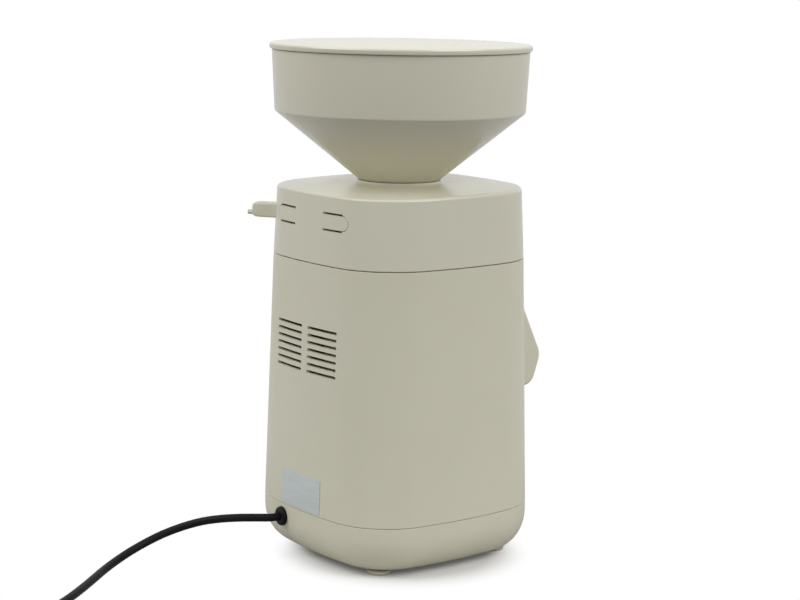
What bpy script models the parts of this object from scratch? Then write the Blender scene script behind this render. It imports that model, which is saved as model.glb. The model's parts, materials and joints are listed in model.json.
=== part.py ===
# Household grain mill with two millstones.
# A case in three shells holds an induction motor, the grinding chamber and the
# gap adjustment. A funnel hopper with a lid stands in a socket on top.
# Metres, +Z up. The motor shaft stands on the empty mill_axis, -Y is the back.

import math

import bmesh
import bpy
from mathutils import Matrix, Vector

# Clearances
SEAT_GAP = 0.0003
FIT_GAP = 0.0003
RUNNING_GAP = 0.0004

# Case: a square plan with bulged sides, wider at the base
CASE_WALL = 0.0025
SIDE_RADIUS = 0.295
CORNER_RADIUS = 0.0464
HALF_WIDTH_BASE = 0.0814
HALF_WIDTH_SEAM = 0.0771
HALF_WIDTH_TOP = 0.0752
COVER_HEIGHT = 0.0335
COVER_ROUNDING = 0.0195
UPPER_WALL_HEIGHT = 0.0460
SHOULDER_ROUNDING = 0.0030
CROWN_RISE = 0.0022
CROWN_TILT = 0.0011
CROWN_DIP = 0.0008
COLLAR_STEP = 0.0010
COLLAR_HEIGHT = 0.0018
LIP_HEIGHT = 0.0045
LIP_WALL = 0.0012
SEAM_RISE = 0.0039

# Feet and case screws
FOOT_RADIUS = 0.0085
FOOT_HEIGHT = 0.0030
FOOT_SPREAD = 0.0495
TOWER_RADIUS = 0.0055
TOWER_FLOOR = 0.0040
CASE_SCREW_RADIUS = 0.0017
CASE_SCREW_HEAD = 0.0032
CASE_SCREW_LENGTH = 0.052

# Air slots
VENT_ROWS = 7
VENT_PITCH = 0.0050
VENT_HEIGHT = 0.0021
VENT_INNER = 0.0034
VENT_OUTER = 0.0345
VENT_LEVEL = 0.150
INTAKE_ROWS = 7
INTAKE_PITCH = 0.0085
INTAKE_WIDTH = 0.0032
INTAKE_LENGTH = 0.056

# Motor
FAN_CLEARANCE = 0.0065
FAN_RADIUS = 0.045
FAN_HEIGHT = 0.014
FAN_BLADES = 9
FAN_TO_SHIELD = 0.006
SHIELD_PLATE = 0.004
WINDING_ROOM = 0.017
WINDING_HEIGHT = 0.013
STATOR_RADIUS = 0.052
STATOR_BORE = 0.029
STATOR_STACK = 0.050
SHAFT_RADIUS = 0.006
SHAFT_STEP = 0.001
SEAL_STEP = 0.0009
BEARING_RADIUS = 0.013
BEARING_WIDTH = 0.008
MOTOR_BOLT_RADIUS = 0.002
MOTOR_PLATE = 0.0025
LEDGE_WIDTH = 0.0065
LEDGE_HEIGHT = 0.004
CAPACITOR_RADIUS = 0.011
CAPACITOR_HEIGHT = 0.046
CAPACITOR_GAP = 0.001
CAPACITOR_NUT_SHARE = 1.9

# Grinding chamber and stones
CHAMBER_WALL = 0.003
CHAMBER_SKIRT = 0.020
CHAMBER_DEPTH = 0.055
FLANGE_WIDTH = 0.0065
STONE_RADIUS = 0.043
STONE_RIM_ROOM = 0.005
STONE_HEIGHT = 0.020
STONE_EYE = 0.0125
STONE_GAP = 0.0006
STONE_LIFT = 0.0016
FURROWS = 10
FURROW_WIDTH = 0.0030
FURROW_DEPTH = 0.0012
CARRIER_FLOOR_GAP = 0.0080
CARRIER_DISC = 0.0087
GASKET_HEIGHT = 0.0027
CARRIER_PILOT = 0.005
CARRIER_HUB = 0.0055
CARRIER_NUT = 0.006
CARRIER_NUT_RADIUS = 0.0096
SEAL_RADIUS = 0.011
SEAL_HEIGHT = 0.0056
SWEEPER_BORE = 0.012
SWEEPER_PLATE = 0.0027
SWEEPER_RIM = 0.002
SWEEPER_GAP = 0.001
PADDLE_WIDTH = 0.004
PADDLE_TIP_GAP = 0.0014

# Gap adjustment
HOLDER_PLATE = 0.0035
HUB_RADIUS = 0.022
HUB_WALL = 0.004
BEARING_PLATE_LEVEL = 0.0142
BEARING_PLATE = 0.003
RING_HEIGHT = 0.016
RING_WIDTH = 0.0145
LEVER_REACH = 0.108
LEVER_HEIGHT = 0.0094
LEVER_WIDTH = 0.0084
LEVER_TIP_HEIGHT = 0.0106
LEVER_GRIP_LENGTH = 0.018
LEVER_GRIP_TAPER = 0.012
LEVER_CORNER = 0.0016
LEVER_REST_ANGLE = 216.0
LEVER_TRAVEL = 72.0
LEVER_SLOT_SPARE = 0.0015
NUB_LENGTH = 0.004
NUB_RADIUS = 0.0017
POST_RADIUS = 0.004
POST_SCREW = 0.0012
POST_SCREW_LENGTH = 0.012
PIN_RADIUS = 0.002
GUIDE_CIRCLE = 0.039
SKIRT_GAP = 0.0005
SKIRT_WALL = 0.0025
LEVER_SCREW_RADIUS = 0.0016
LEVER_SCREW_GRIP = 0.0020

# Release tabs in the back of the upper housing
TAB_ROOT = 0.0162
TAB_LENGTH = 0.0246
TAB_HEIGHT = 0.0096
TAB_LEVEL = 0.2388
TAB_SLOT = 0.0014
TAB_ARM = 0.008
TAB_ARM_DEPTH = 0.0026

# Hopper and lid
HOPPER_RADIUS = 0.0884
HOPPER_TAPER = 0.0020
HOPPER_WALL = 0.0024
HOPPER_BIN = 0.0417
HOPPER_CONE = 0.0470
NECK_RADIUS = 0.0285
NECK_TUBE = 0.026
NECK_LENGTH = 0.016
LID_RADIUS = 0.090
LID_THICKNESS = 0.0041
LID_RIM_DEPTH = 0.007

# Flour chute and spout
CHUTE_WIDTH = 0.034
CHUTE_HEIGHT = 0.024
CHUTE_SLOPE = 30.0
SPOUT_WIDTH = 0.053
SPOUT_WALL = 0.0022
SPOUT_REACH = 0.1108
SPOUT_SLOPE_TOP = 0.2035
SPOUT_TIP_LEVEL = 0.1315
SPOUT_OUTLET_LEVEL = 0.107
SPOUT_OUTLET_DEPTH = 0.0212
SPOUT_NOSE = 0.003
CHUTE_CORNER = 0.0022
SPOUT_CORNER = 0.0035

# Power switch on the left side
SWITCH_LEVEL = 0.187
SWITCH_WIDTH = 0.021
SWITCH_HEIGHT = 0.028
SWITCH_DEPTH = 0.014
SWITCH_BEZEL = 0.0018
SWITCH_BORDER = 0.0016
ROCKER_PIVOT = 0.0032
ROCKER_FACE = 0.0042
ROCKER_DEPTH = 0.0010
ROCKER_TILT = 8.0

# Mains cord
CORD_RADIUS = 0.0028
GLAND_X = -0.0225
GLAND_LEVEL = 0.0276
GLAND_RADIUS = 0.0068
GLAND_FLANGE = 0.003
GLAND_BARB = 0.0012
COIL_MEAN_RADIUS = 0.031
COIL_TURNS_WIDE = 3
COIL_LAYERS = 2
PLUG_WIDTH = 0.026
PLUG_THICKNESS = 0.0137
PLUG_BODY = 0.034
PLUG_RELIEF = 0.022
PLUG_SLEEVE = 0.0008
PLUG_PIN_RADIUS = 0.002
PLUG_PIN_LENGTH = 0.019
PLUG_PIN_SPACING = 0.0186

# The cord's way over the floor, from the gland to the coil, relative to the shaft
CORD_ROUTE = [
    (-0.0225, -0.0830, 0.0276),
    (-0.0232, -0.0900, 0.0276),
    (-0.0262, -0.0990, 0.0275),
    (-0.0322, -0.1090, 0.0268),
    (-0.0410, -0.1190, 0.0254),
    (-0.0505, -0.1290, 0.0228),
    (-0.0590, -0.1400, 0.0188),
    (-0.0652, -0.1520, 0.0138),
    (-0.0678, -0.1640, 0.0088),
    (-0.0664, -0.1770, 0.0050),
    (-0.0610, -0.1910, 0.0032),
    (-0.0520, -0.2060, 0.0028),
    (-0.0400, -0.2210, 0.0028),
    (-0.0250, -0.2375, 0.0028),
    (-0.0085, -0.2546, 0.0028),
    (0.0025, -0.2680, 0.0028),
    (0.0115, -0.2835, 0.0028),
    (0.0170, -0.2995, 0.0028),
    (0.0209, -0.3140, 0.0028),
]
COIL_CENTRE = (0.0620, -0.3030)
PLUG_ANGLE = 90.0

# Radii and levels that follow from the sizes, from the floor up
CHAMBER_RADIUS = STONE_RADIUS + STONE_RIM_ROOM
SKIRT_RADIUS = CHAMBER_RADIUS - SKIRT_GAP
COVER_BOTTOM = FOOT_HEIGHT
COVER_FLOOR = COVER_BOTTOM + CASE_WALL
BASE_SEAM = COVER_BOTTOM + COVER_HEIGHT
FAN_BOTTOM = COVER_FLOOR + FAN_CLEARANCE
LOWER_SHIELD = FAN_BOTTOM + FAN_HEIGHT + FAN_TO_SHIELD
STATOR_BOTTOM = LOWER_SHIELD + SHIELD_PLATE + WINDING_ROOM
STATOR_TOP = STATOR_BOTTOM + STATOR_STACK
UPPER_SHIELD_TOP = STATOR_TOP + WINDING_ROOM + SHIELD_PLATE
PLATE_BOTTOM = UPPER_SHIELD_TOP + SEAT_GAP
PLATE_TOP = PLATE_BOTTOM + MOTOR_PLATE
CHAMBER_BASE = PLATE_TOP + SEAT_GAP
CHAMBER_FLOOR = CHAMBER_BASE + CHAMBER_SKIRT + CHAMBER_WALL
CHAMBER_RIM = CHAMBER_FLOOR + CHAMBER_DEPTH
GASKET_BOTTOM = CHAMBER_RIM + SEAT_GAP
GASKET_TOP = GASKET_BOTTOM + GASKET_HEIGHT
CARRIER_BOTTOM = CHAMBER_FLOOR + CARRIER_FLOOR_GAP
CARRIER_TOP = CARRIER_BOTTOM + CARRIER_DISC
LOWER_STONE = CARRIER_TOP + SEAT_GAP
UPPER_STONE = LOWER_STONE + STONE_HEIGHT + STONE_GAP
HOLDER_BOTTOM = UPPER_STONE + STONE_HEIGHT + SEAT_GAP
TOP_SEAM = CHAMBER_RIM + SEAM_RISE
PLATE_LEVEL = HOLDER_BOTTOM + BEARING_PLATE_LEVEL
RING_BOTTOM = PLATE_LEVEL + BEARING_PLATE + SEAT_GAP
RING_TOP = RING_BOTTOM + RING_HEIGHT
SHOULDER = TOP_SEAM + UPPER_WALL_HEIGHT
CROWN_EDGE = SHOULDER + SHOULDER_ROUNDING - CROWN_DIP
COLLAR_TOP = CROWN_EDGE + CROWN_RISE + COLLAR_HEIGHT
SOCKET_BOTTOM = RING_TOP + 2 * SEAT_GAP
HOPPER_BASE = COLLAR_TOP + SEAT_GAP
HOPPER_CREASE = HOPPER_BASE + HOPPER_CONE
HOPPER_RIM = HOPPER_CREASE + HOPPER_BIN
LID_BOTTOM = HOPPER_RIM + SEAT_GAP
LEVER_LEVEL = RING_BOTTOM + RING_HEIGHT * 0.6
AXIS_Y = (LID_RADIUS - SPOUT_REACH) / 2

CREAM = (0.80, 0.78, 0.68)
SIDE_STEPS = 3
CORNER_STEPS = 5
QUARTER = math.pi / 2


# Scene and materials

def clear_scene():
    for item in list(bpy.data.objects):
        bpy.data.objects.remove(item, do_unlink=True)
    for group in list(bpy.data.collections):
        bpy.data.collections.remove(group)


def new_collection(name):
    group = bpy.data.collections.new(name)
    bpy.context.scene.collection.children.link(group)
    return group


clear_scene()
PARTS = new_collection("grain_mill")
CUTTERS = new_collection("cutters")
MILL_AXIS = bpy.data.objects.new("mill_axis", None)
MILL_AXIS.location = (0, AXIS_Y, 0)
PARTS.objects.link(MILL_AXIS)


def finish(item, colour, roughness=0.5, metallic=0.0, at=(0, 0, 0), turn=(0, 0, 0), parent=None):
    """Puts a finished piece in the model at its place, with its own material."""
    paint = bpy.data.materials.new(item.name)
    paint.use_nodes = True
    shader = paint.node_tree.nodes["Principled BSDF"]
    shader.inputs["Base Color"].default_value = (*colour, 1)
    shader.inputs["Roughness"].default_value = roughness
    shader.inputs["Metallic"].default_value = metallic
    item.data.materials.append(paint)
    item.location = at
    item.rotation_euler = turn
    item.parent = parent or MILL_AXIS
    PARTS.objects.link(item)
    return item


def cutter(name, bm, at=(0, 0, 0), turn=(0, 0, 0), parent=None):
    """A tool for a Boolean: hidden in renders and drawn as wire."""
    item = to_object(name, bm)
    item.location = at
    item.rotation_euler = turn
    item.parent = parent or MILL_AXIS
    item.hide_render = True
    item.display_type = "WIRE"
    CUTTERS.objects.link(item)
    return item


def to_object(name, bm):
    mesh = bpy.data.meshes.new(name)
    bm.to_mesh(mesh)
    bm.free()
    mesh.shade_smooth()
    mesh.set_sharp_from_angle(angle=math.radians(35))
    return bpy.data.objects.new(name, mesh)


def combine(item, tool, operation="DIFFERENCE"):
    step = item.modifiers.new(operation.lower(), "BOOLEAN")
    step.operation = operation
    step.solver = "EXACT"
    step.object = tool
    return item


# Shapes

def half_width(level):
    """Half width of the case's outer wall at a height."""
    if level <= BASE_SEAM:
        return HALF_WIDTH_BASE
    if level <= TOP_SEAM:
        share = (level - BASE_SEAM) / (TOP_SEAM - BASE_SEAM)
        return HALF_WIDTH_BASE + share * (HALF_WIDTH_SEAM - HALF_WIDTH_BASE)
    share = min(1.0, (level - TOP_SEAM) / (SHOULDER - TOP_SEAM))
    return HALF_WIDTH_SEAM + share * (HALF_WIDTH_TOP - HALF_WIDTH_SEAM)


def corner_centre(half):
    """Where the corner arc's centre lies on the diagonal, tangent to the side arcs."""
    side = SIDE_RADIUS - half
    join = SIDE_RADIUS - CORNER_RADIUS
    return (math.sqrt(2 * join * join - side * side) - side) / 2


def outline(half, inset=0.0):
    """Plan of the case: four bulged sides and four round corners, counter-clockwise."""
    centre = corner_centre(half)
    side_angle = math.atan2(centre, centre + SIDE_RADIUS - half)
    points = []
    for quarter in range(4):
        turn = Matrix.Rotation(quarter * QUARTER, 2)
        for step in range(SIDE_STEPS):
            angle = side_angle * (2 * step / SIDE_STEPS - 1)
            reach = SIDE_RADIUS - inset
            x = half - SIDE_RADIUS + reach * math.cos(angle)
            points.append(turn @ Vector((x, reach * math.sin(angle))))
        for step in range(CORNER_STEPS):
            angle = side_angle + (QUARTER - 2 * side_angle) * step / CORNER_STEPS
            reach = CORNER_RADIUS - inset
            x = centre + reach * math.cos(angle)
            points.append(turn @ Vector((x, centre + reach * math.sin(angle))))
    return points


def case_ring(level, inset=0.0):
    return [Vector((x, y, level)) for x, y in outline(half_width(level), inset)]


def round_ring(level, radius):
    """A circle whose points face those of the case outline."""
    plan = outline(half_width(level))
    return [Vector((*(point.normalized() * radius), level)) for point in plan]


def side_y(level, x, inset=0.0):
    """Distance of a flat side's wall from the shaft, at a height and a place across."""
    reach = SIDE_RADIUS - inset
    return half_width(level) - SIDE_RADIUS + math.sqrt(reach * reach - x * x)


def bridge(bm, rings, closed=False):
    """Skins rings of points and closes the ends. On the outer side the rings run from the top down."""
    layers = [[bm.verts.new(point) for point in ring] for ring in rings]
    pairs = list(zip(layers, layers[1:]))
    if closed:
        pairs.append((layers[-1], layers[0]))
    for upper, lower in pairs:
        count = len(upper)
        for index in range(count):
            after = (index + 1) % count
            bm.faces.new((upper[index], lower[index], lower[after], upper[after]))
    if not closed:
        bm.faces.new(layers[0])
        bm.faces.new(reversed(layers[-1]))


def loft(rings, closed=False):
    bm = bmesh.new()
    bridge(bm, rings, closed)
    return bm


def turned(name, profile, steps=24, closed=True):
    """A turned piece: its profile runs down the outer side, closed round a bore or open at the axis."""
    mesh = bpy.data.meshes.new(name)
    edges = [(index, index + 1) for index in range(len(profile) - 1)]
    if closed:
        edges.append((len(profile) - 1, 0))
    mesh.from_pydata([(radius, 0, level) for radius, level in profile], edges, [])
    item = bpy.data.objects.new(name, mesh)
    screw = item.modifiers.new("turn", "SCREW")
    screw.axis = "Z"
    screw.steps = steps
    screw.render_steps = steps
    screw.use_merge_vertices = True
    screw.merge_threshold = 0.00001
    return item


def add_rod(bm, radius, low, high, x=0.0, y=0.0, steps=10):
    place = Matrix.Translation((x, y, (low + high) / 2))
    bmesh.ops.create_cone(
        bm, cap_ends=True, segments=steps, radius1=radius, radius2=radius, depth=high - low, matrix=place
    )


def add_box(bm, size, at, turn=0.0):
    place = Matrix.Rotation(turn, 4, "Z") @ Matrix.Translation(at) @ Matrix.Diagonal((*size, 1))
    bmesh.ops.create_cube(bm, size=1, matrix=place)


def add_screw(bm, x, y, head_level, head_radius, head_height, shank_radius, length, up, steps=8):
    """A pan-head screw as one turned solid. Its head's bearing face is at head_level."""
    way = 1 if up else -1
    profile = [
        (0, -way * head_height),
        (head_radius, -way * head_height),
        (head_radius, 0),
        (shank_radius, 0),
        (shank_radius, way * length),
        (0, way * length),
    ]
    line = [bm.verts.new((x + radius, y, head_level + level)) for radius, level in profile]
    edges = [bm.edges.new(pair) for pair in zip(line, line[1:])]
    bmesh.ops.spin(
        bm, geom=line + edges, cent=(x, y, 0), axis=(0, 0, 1), angle=4 * QUARTER, steps=steps, use_merge=True
    )


def screw_solids(places, *sizes, up=False):
    """Like screws at several places, each a separate closed solid in one mesh."""
    bm = bmesh.new()
    for x, y in places:
        add_screw(bm, x, y, *sizes, up)
    bmesh.ops.remove_doubles(bm, verts=bm.verts, dist=0.000001)
    bmesh.ops.recalc_face_normals(bm, faces=bm.faces)
    return bm


def screw_set(name, places, level, *sizes, up=False):
    """One named object for each screw of a set, all with the same mesh shape."""
    for number, (x, y) in enumerate(places, 1):
        screw = to_object(f"{name}_{number}", screw_solids([(0, 0)], 0, *sizes, up=up))
        finish(screw, (0.6, 0.6, 0.62), 0.3, 1.0, at=(x, y, level))


def around(radius, angles):
    return [(radius * math.cos(math.radians(a)), radius * math.sin(math.radians(a))) for a in angles]


def section(centre, across, along, half_across, half_along, rounding, steps=3):
    """A rounded rectangle in space, as a ring of points."""
    across = Vector(across).normalized()
    along = Vector(along).normalized()
    points = []
    for quarter, (side, end) in enumerate(((1, 1), (-1, 1), (-1, -1), (1, -1))):
        for step in range(steps + 1):
            angle = (quarter + step / steps) * QUARTER
            u = side * (half_across - rounding) + rounding * math.cos(angle)
            v = end * (half_along - rounding) + rounding * math.sin(angle)
            points.append(Vector(centre) + across * u + along * v)
    return points


def duct_ring(station, half_across, rounding, shrink=0.0):
    """One section of a duct in the Y-Z plane, from its front or top point to its back or bottom one."""
    front = Vector((0, *station[0]))
    back = Vector((0, *station[1]))
    if shrink:
        along = (front - back).normalized()
        front -= along * (station[2] if len(station) > 2 else shrink)
        back += along * shrink
    half = (front - back).length / 2
    centre = (front + back) / 2
    inner = max(rounding - shrink, 0.0006)
    return section(centre, (1, 0, 0), front - back, half_across - shrink, half, inner)


def duct(stations, half_across, rounding, wall):
    """An open tube through stations of front and back points, and maybe the front wall's own thickness."""
    outer = [duct_ring(station, half_across, rounding) for station in stations]
    inner = [duct_ring(station, half_across, rounding, wall) for station in stations]
    bm = loft(outer + inner[::-1], closed=True)
    bmesh.ops.recalc_face_normals(bm, faces=bm.faces)
    return bm


# Case

def foot_places():
    return [(x * FOOT_SPREAD, y * FOOT_SPREAD) for x, y in ((-1, -1), (1, -1), (1, 1), (-1, 1))]


def tower_bottom():
    return COVER_BOTTOM + TOWER_FLOOR + CASE_SCREW_HEAD


def bottom_cover():
    """The tub under the case, with a lip that centres the main housing and four screw towers."""
    rings = [case_ring(COVER_FLOOR, COVER_ROUNDING)]
    arc = 5
    inner_rounding = COVER_ROUNDING - CASE_WALL
    for step in (1, 2):
        angle = QUARTER * step / 2
        inset = COVER_ROUNDING - inner_rounding * math.sin(angle)
        rings.append(case_ring(COVER_FLOOR + inner_rounding * (1 - math.cos(angle)), inset))
    lip = CASE_WALL + FIT_GAP
    rings.append(case_ring(BASE_SEAM - LIP_HEIGHT, CASE_WALL))
    rings.append(case_ring(BASE_SEAM - LIP_HEIGHT + LIP_WALL, lip + LIP_WALL))
    rings.append(case_ring(BASE_SEAM + LIP_HEIGHT, lip + LIP_WALL))
    rings.append(case_ring(BASE_SEAM + LIP_HEIGHT, lip))
    rings.append(case_ring(BASE_SEAM, lip))
    rings.append(case_ring(BASE_SEAM, 0))
    for step in range(arc + 1):
        angle = QUARTER * step / arc
        inset = COVER_ROUNDING * (1 - math.cos(angle))
        rings.append(case_ring(COVER_BOTTOM + COVER_ROUNDING * (1 - math.sin(angle)), inset))
    cover = to_object("bottom_cover", loft(rings))

    towers = bmesh.new()
    for x, y in foot_places():
        add_rod(towers, TOWER_RADIUS, COVER_FLOOR - CASE_WALL / 2, BASE_SEAM + LIP_HEIGHT, x, y)
    combine(cover, cutter("cover_towers", towers), "UNION")
    bores = bmesh.new()
    for x, y in foot_places():
        add_rod(bores, CASE_SCREW_RADIUS + FIT_GAP, COVER_BOTTOM, BASE_SEAM + 2 * LIP_HEIGHT, x, y, 8)
    combine(cover, cutter("cover_bores", bores))
    recess = bmesh.new()
    for x, y in foot_places():
        radius = CASE_SCREW_HEAD + FIT_GAP
        add_rod(recess, radius, COVER_BOTTOM - CASE_WALL, tower_bottom() + SEAT_GAP, x, y, 10)
    combine(cover, cutter("cover_recess", recess))

    intake = bmesh.new()
    first = -(INTAKE_ROWS - 1) / 2 * INTAKE_PITCH
    for row in range(INTAKE_ROWS):
        size = (INTAKE_LENGTH, INTAKE_WIDTH, 4 * CASE_WALL)
        add_box(intake, size, (0, first + row * INTAKE_PITCH, COVER_BOTTOM))
    combine(cover, cutter("intake_slots", intake))
    hole = bmesh.new()
    add_rod(hole, gland_neck() + FIT_GAP, -CASE_WALL * 3, CASE_WALL * 3, steps=20)
    combine(cover, cutter("gland_hole", hole, *gland_place()))
    room = bmesh.new()
    add_rod(room, gland_neck() + GLAND_BARB + FIT_GAP, -CASE_WALL * 4, -CASE_WALL - SEAT_GAP, steps=20)
    combine(cover, cutter("gland_room", room, *gland_place()))
    finish(cover, CREAM)


def foot(name, x, y):
    """A rubber foot whose peg plugs the screw recess."""
    peg = CASE_SCREW_HEAD - FIT_GAP
    rounding = FOOT_HEIGHT * 0.3
    top = FOOT_HEIGHT - SEAT_GAP
    profile = [
        (0, FOOT_HEIGHT + TOWER_FLOOR - CASE_SCREW_HEAD / 2),
        (peg, FOOT_HEIGHT + TOWER_FLOOR - CASE_SCREW_HEAD / 2),
        (peg, top),
        (FOOT_RADIUS, top),
        (FOOT_RADIUS, rounding),
        (FOOT_RADIUS - rounding, 0),
        (0, 0),
    ]
    finish(turned(name, profile, 12, closed=False), (0.62, 0.60, 0.52), 0.7, at=(x, y, 0))


def feet():
    names = ("foot_back_left", "foot_back_right", "foot_front_right", "foot_front_left")
    for name, (x, y) in zip(names, foot_places()):
        foot(name, x, y)


def case_screws():
    screw_set(
        "case_screw", foot_places(), tower_bottom(), CASE_SCREW_HEAD, CASE_SCREW_HEAD * 0.6,
        CASE_SCREW_RADIUS, CASE_SCREW_LENGTH, up=True,
    )


def housing_towers(housing):
    """Screw towers in the four corners, each with a web to the wall."""
    low = BASE_SEAM + LIP_HEIGHT + SEAT_GAP
    high = tower_bottom() + CASE_SCREW_LENGTH + 2 * SEAT_GAP + LIP_HEIGHT
    towers = bmesh.new()
    bores = bmesh.new()
    webs = bmesh.new()
    reach = math.sqrt(2) * FOOT_SPREAD
    corner = math.sqrt(2) * corner_centre(half_width(high)) + CORNER_RADIUS - CASE_WALL / 2
    web_low = BASE_SEAM + LIP_HEIGHT + 2 * LIP_WALL
    for index, (x, y) in enumerate(foot_places()):
        add_rod(towers, TOWER_RADIUS, low, high, x, y)
        add_rod(bores, CASE_SCREW_RADIUS + FIT_GAP, low - LIP_HEIGHT, high - LIP_HEIGHT, x, y, 8)
        size = (corner - reach, CASE_WALL, high - LIP_HEIGHT - web_low)
        centre = ((corner + reach) / 2, 0, (high - LIP_HEIGHT + web_low) / 2)
        add_box(webs, size, centre, math.atan2(y, x))
    combine(housing, cutter("housing_webs", webs), "UNION")
    combine(housing, cutter("housing_towers", towers), "UNION")
    combine(housing, cutter("tower_bores", bores))


def main_housing():
    """The tall shell: motor ledge, lip for the upper housing, air slots, spout and switch openings."""
    wall = CASE_WALL
    lip = wall + FIT_GAP
    ledge_top = PLATE_BOTTOM - SEAT_GAP
    top = TOP_SEAM - SEAT_GAP
    rings = [
        case_ring(top, lip),
        case_ring(top, 0),
        case_ring(BASE_SEAM + SEAT_GAP, 0),
        case_ring(BASE_SEAM + SEAT_GAP, wall),
        case_ring(ledge_top - LEDGE_HEIGHT - LEDGE_WIDTH, wall),
        case_ring(ledge_top - LEDGE_HEIGHT, wall + LEDGE_WIDTH),
        case_ring(ledge_top, wall + LEDGE_WIDTH),
        case_ring(ledge_top, wall),
        case_ring(top - LIP_HEIGHT, wall),
        case_ring(top - LIP_HEIGHT + LIP_WALL, lip + LIP_WALL),
        case_ring(top + LIP_HEIGHT, lip + LIP_WALL),
        case_ring(top + LIP_HEIGHT, lip),
    ]
    housing = to_object("main_housing", loft(rings, closed=True))
    housing_towers(housing)

    catches = bmesh.new()
    for side in (-1, 1):
        size = (TAB_ARM, tab_catch_depth() + CASE_WALL / 2, LEDGE_HEIGHT)
        y = -(tab_catch_face() + size[1] / 2)
        add_box(catches, size, (side * tab_arm_x(), y, top - 2 * LIP_HEIGHT))
    combine(housing, cutter("tab_catches", catches), "UNION")

    vents = bmesh.new()
    width = VENT_OUTER - VENT_INNER
    for row in range(VENT_ROWS):
        level = VENT_LEVEL + (row - (VENT_ROWS - 1) / 2) * VENT_PITCH
        for side in (-1, 1):
            size = (width, 6 * CASE_WALL, VENT_HEIGHT)
            add_box(vents, size, (side * (VENT_INNER + width / 2), -side_y(level, 0), level))
    combine(housing, cutter("vent_slots", vents))
    opening = bmesh.new()
    low, high = chute_window()
    size = (CHUTE_WIDTH + 2 * RUNNING_GAP, 6 * CASE_WALL, high - low)
    add_box(opening, size, (0, side_y(low, 0) - CASE_WALL / 2, (low + high) / 2))
    combine(housing, cutter("spout_opening", opening))
    window = bmesh.new()
    size = (SWITCH_WIDTH + 2 * FIT_GAP, 6 * CASE_WALL, SWITCH_HEIGHT + 2 * FIT_GAP)
    add_box(window, size, (0, 0, 0))
    combine(housing, cutter("switch_window", window, *switch_place()))
    screw_bores = bmesh.new()
    for x, y in plate_screw_places():
        low = ledge_top - LEDGE_HEIGHT * 0.8
        add_rod(screw_bores, CASE_SCREW_RADIUS, low, ledge_top + LIP_HEIGHT, x, y, 8)
    combine(housing, cutter("ledge_bores", screw_bores))
    finish(housing, CREAM)


def roof_level(share, y, inner=False):
    """Height of the upper housing's crown, from its edge (0) to the collar (1)."""
    level = CROWN_EDGE + CROWN_RISE * share - (CASE_WALL if inner else 0)
    return level + CROWN_TILT * (1 - share) * y / HALF_WIDTH_TOP


def roof_ring(share, inset, inner=False):
    """A ring on the crown, between the case outline and the round collar."""
    plan = case_ring(SHOULDER, inset)
    collar = round_ring(SHOULDER, collar_radius())
    ring = []
    for outer, inside in zip(plan, collar):
        point = outer.lerp(inside, share)
        point.z = roof_level(share, point.y, inner)
        ring.append(point)
    return ring


def collar_radius():
    return NECK_RADIUS + COLLAR_STEP


def socket_radius():
    return NECK_TUBE + FIT_GAP


def upper_housing():
    """The lift-off top: crown, hopper socket, lever slot, tab openings and posts for the bearing plate."""
    wall = CASE_WALL
    low = TOP_SEAM + SEAT_GAP
    socket = socket_radius()
    rounding = SHOULDER_ROUNDING
    rings = [
        round_ring(COLLAR_TOP, socket),
        round_ring(COLLAR_TOP, collar_radius()),
        roof_ring(1, rounding),
        roof_ring(0.5, rounding),
        roof_ring(0.15, rounding),
        roof_ring(0, rounding),
    ]
    for degrees in (60, 35, 15):
        angle = math.radians(degrees)
        inset = rounding * (1 - math.cos(angle))
        ring = case_ring(SHOULDER, inset)
        for point in ring:
            top = roof_level(0, point.y)
            point.z = SHOULDER + (top - SHOULDER) * math.sin(angle)
        rings.append(ring)
    rings += [
        case_ring(SHOULDER, 0),
        case_ring(low, 0),
        case_ring(low, wall),
        case_ring(SHOULDER - wall, wall),
        roof_ring(0, wall + rounding, True),
        roof_ring(0.5, wall + rounding, True),
        round_ring(roof_level(0.9, 0, True), socket + wall),
        round_ring(SOCKET_BOTTOM, socket + wall),
        round_ring(SOCKET_BOTTOM, socket),
    ]
    housing = to_object("upper_housing", loft(rings, closed=True))

    posts = bmesh.new()
    bores = bmesh.new()
    post_top = roof_level(0.5, 0, True) + CASE_WALL / 2
    for x, y in post_places():
        add_rod(posts, POST_RADIUS, PLATE_LEVEL + BEARING_PLATE + SEAT_GAP, post_top, x, y)
        add_rod(bores, POST_SCREW + FIT_GAP, PLATE_LEVEL, PLATE_LEVEL + POST_SCREW_LENGTH, x, y, 10)
    combine(housing, cutter("plate_posts", posts), "UNION")
    combine(housing, cutter("post_bores", bores))
    combine(housing, cutter("lever_slot", lever_sweep()))
    combine(housing, cutter("tab_openings", tab_prisms((-1, 1), True)))
    finish(housing, CREAM, 0.3)


# Release tabs

def tab_arm_x():
    return TAB_ROOT + TAB_LENGTH - TAB_ARM


def tab_catch_face():
    """Distance of the catch's inner face from the shaft."""
    lip_face = side_y(TOP_SEAM, tab_arm_x() + TAB_ARM / 2, CASE_WALL + FIT_GAP + LIP_WALL)
    return lip_face - FIT_GAP


def tab_catch_depth():
    return side_y(TOP_SEAM, tab_arm_x(), CASE_WALL) - tab_catch_face()


def tab_outline(opening):
    """Corners of the round-ended tongue, or of its opening, wider along the straight sides."""
    half = TAB_HEIGHT / 2
    straight = TAB_ROOT + TAB_LENGTH - half
    grow = FIT_GAP if opening else 0.0
    points = []
    for step in range(7):
        angle = QUARTER * (step / 3 - 1)
        points.append((straight + (half + grow) * math.cos(angle), (half + grow) * math.sin(angle)))
    if opening:
        slot = half + TAB_SLOT
        return [(TAB_ROOT, -slot), (straight, -slot)] + points + [(straight, slot), (TAB_ROOT, slot)]
    root = TAB_ROOT + FIT_GAP
    return [(root, -half)] + points + [(root, half)]


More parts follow.
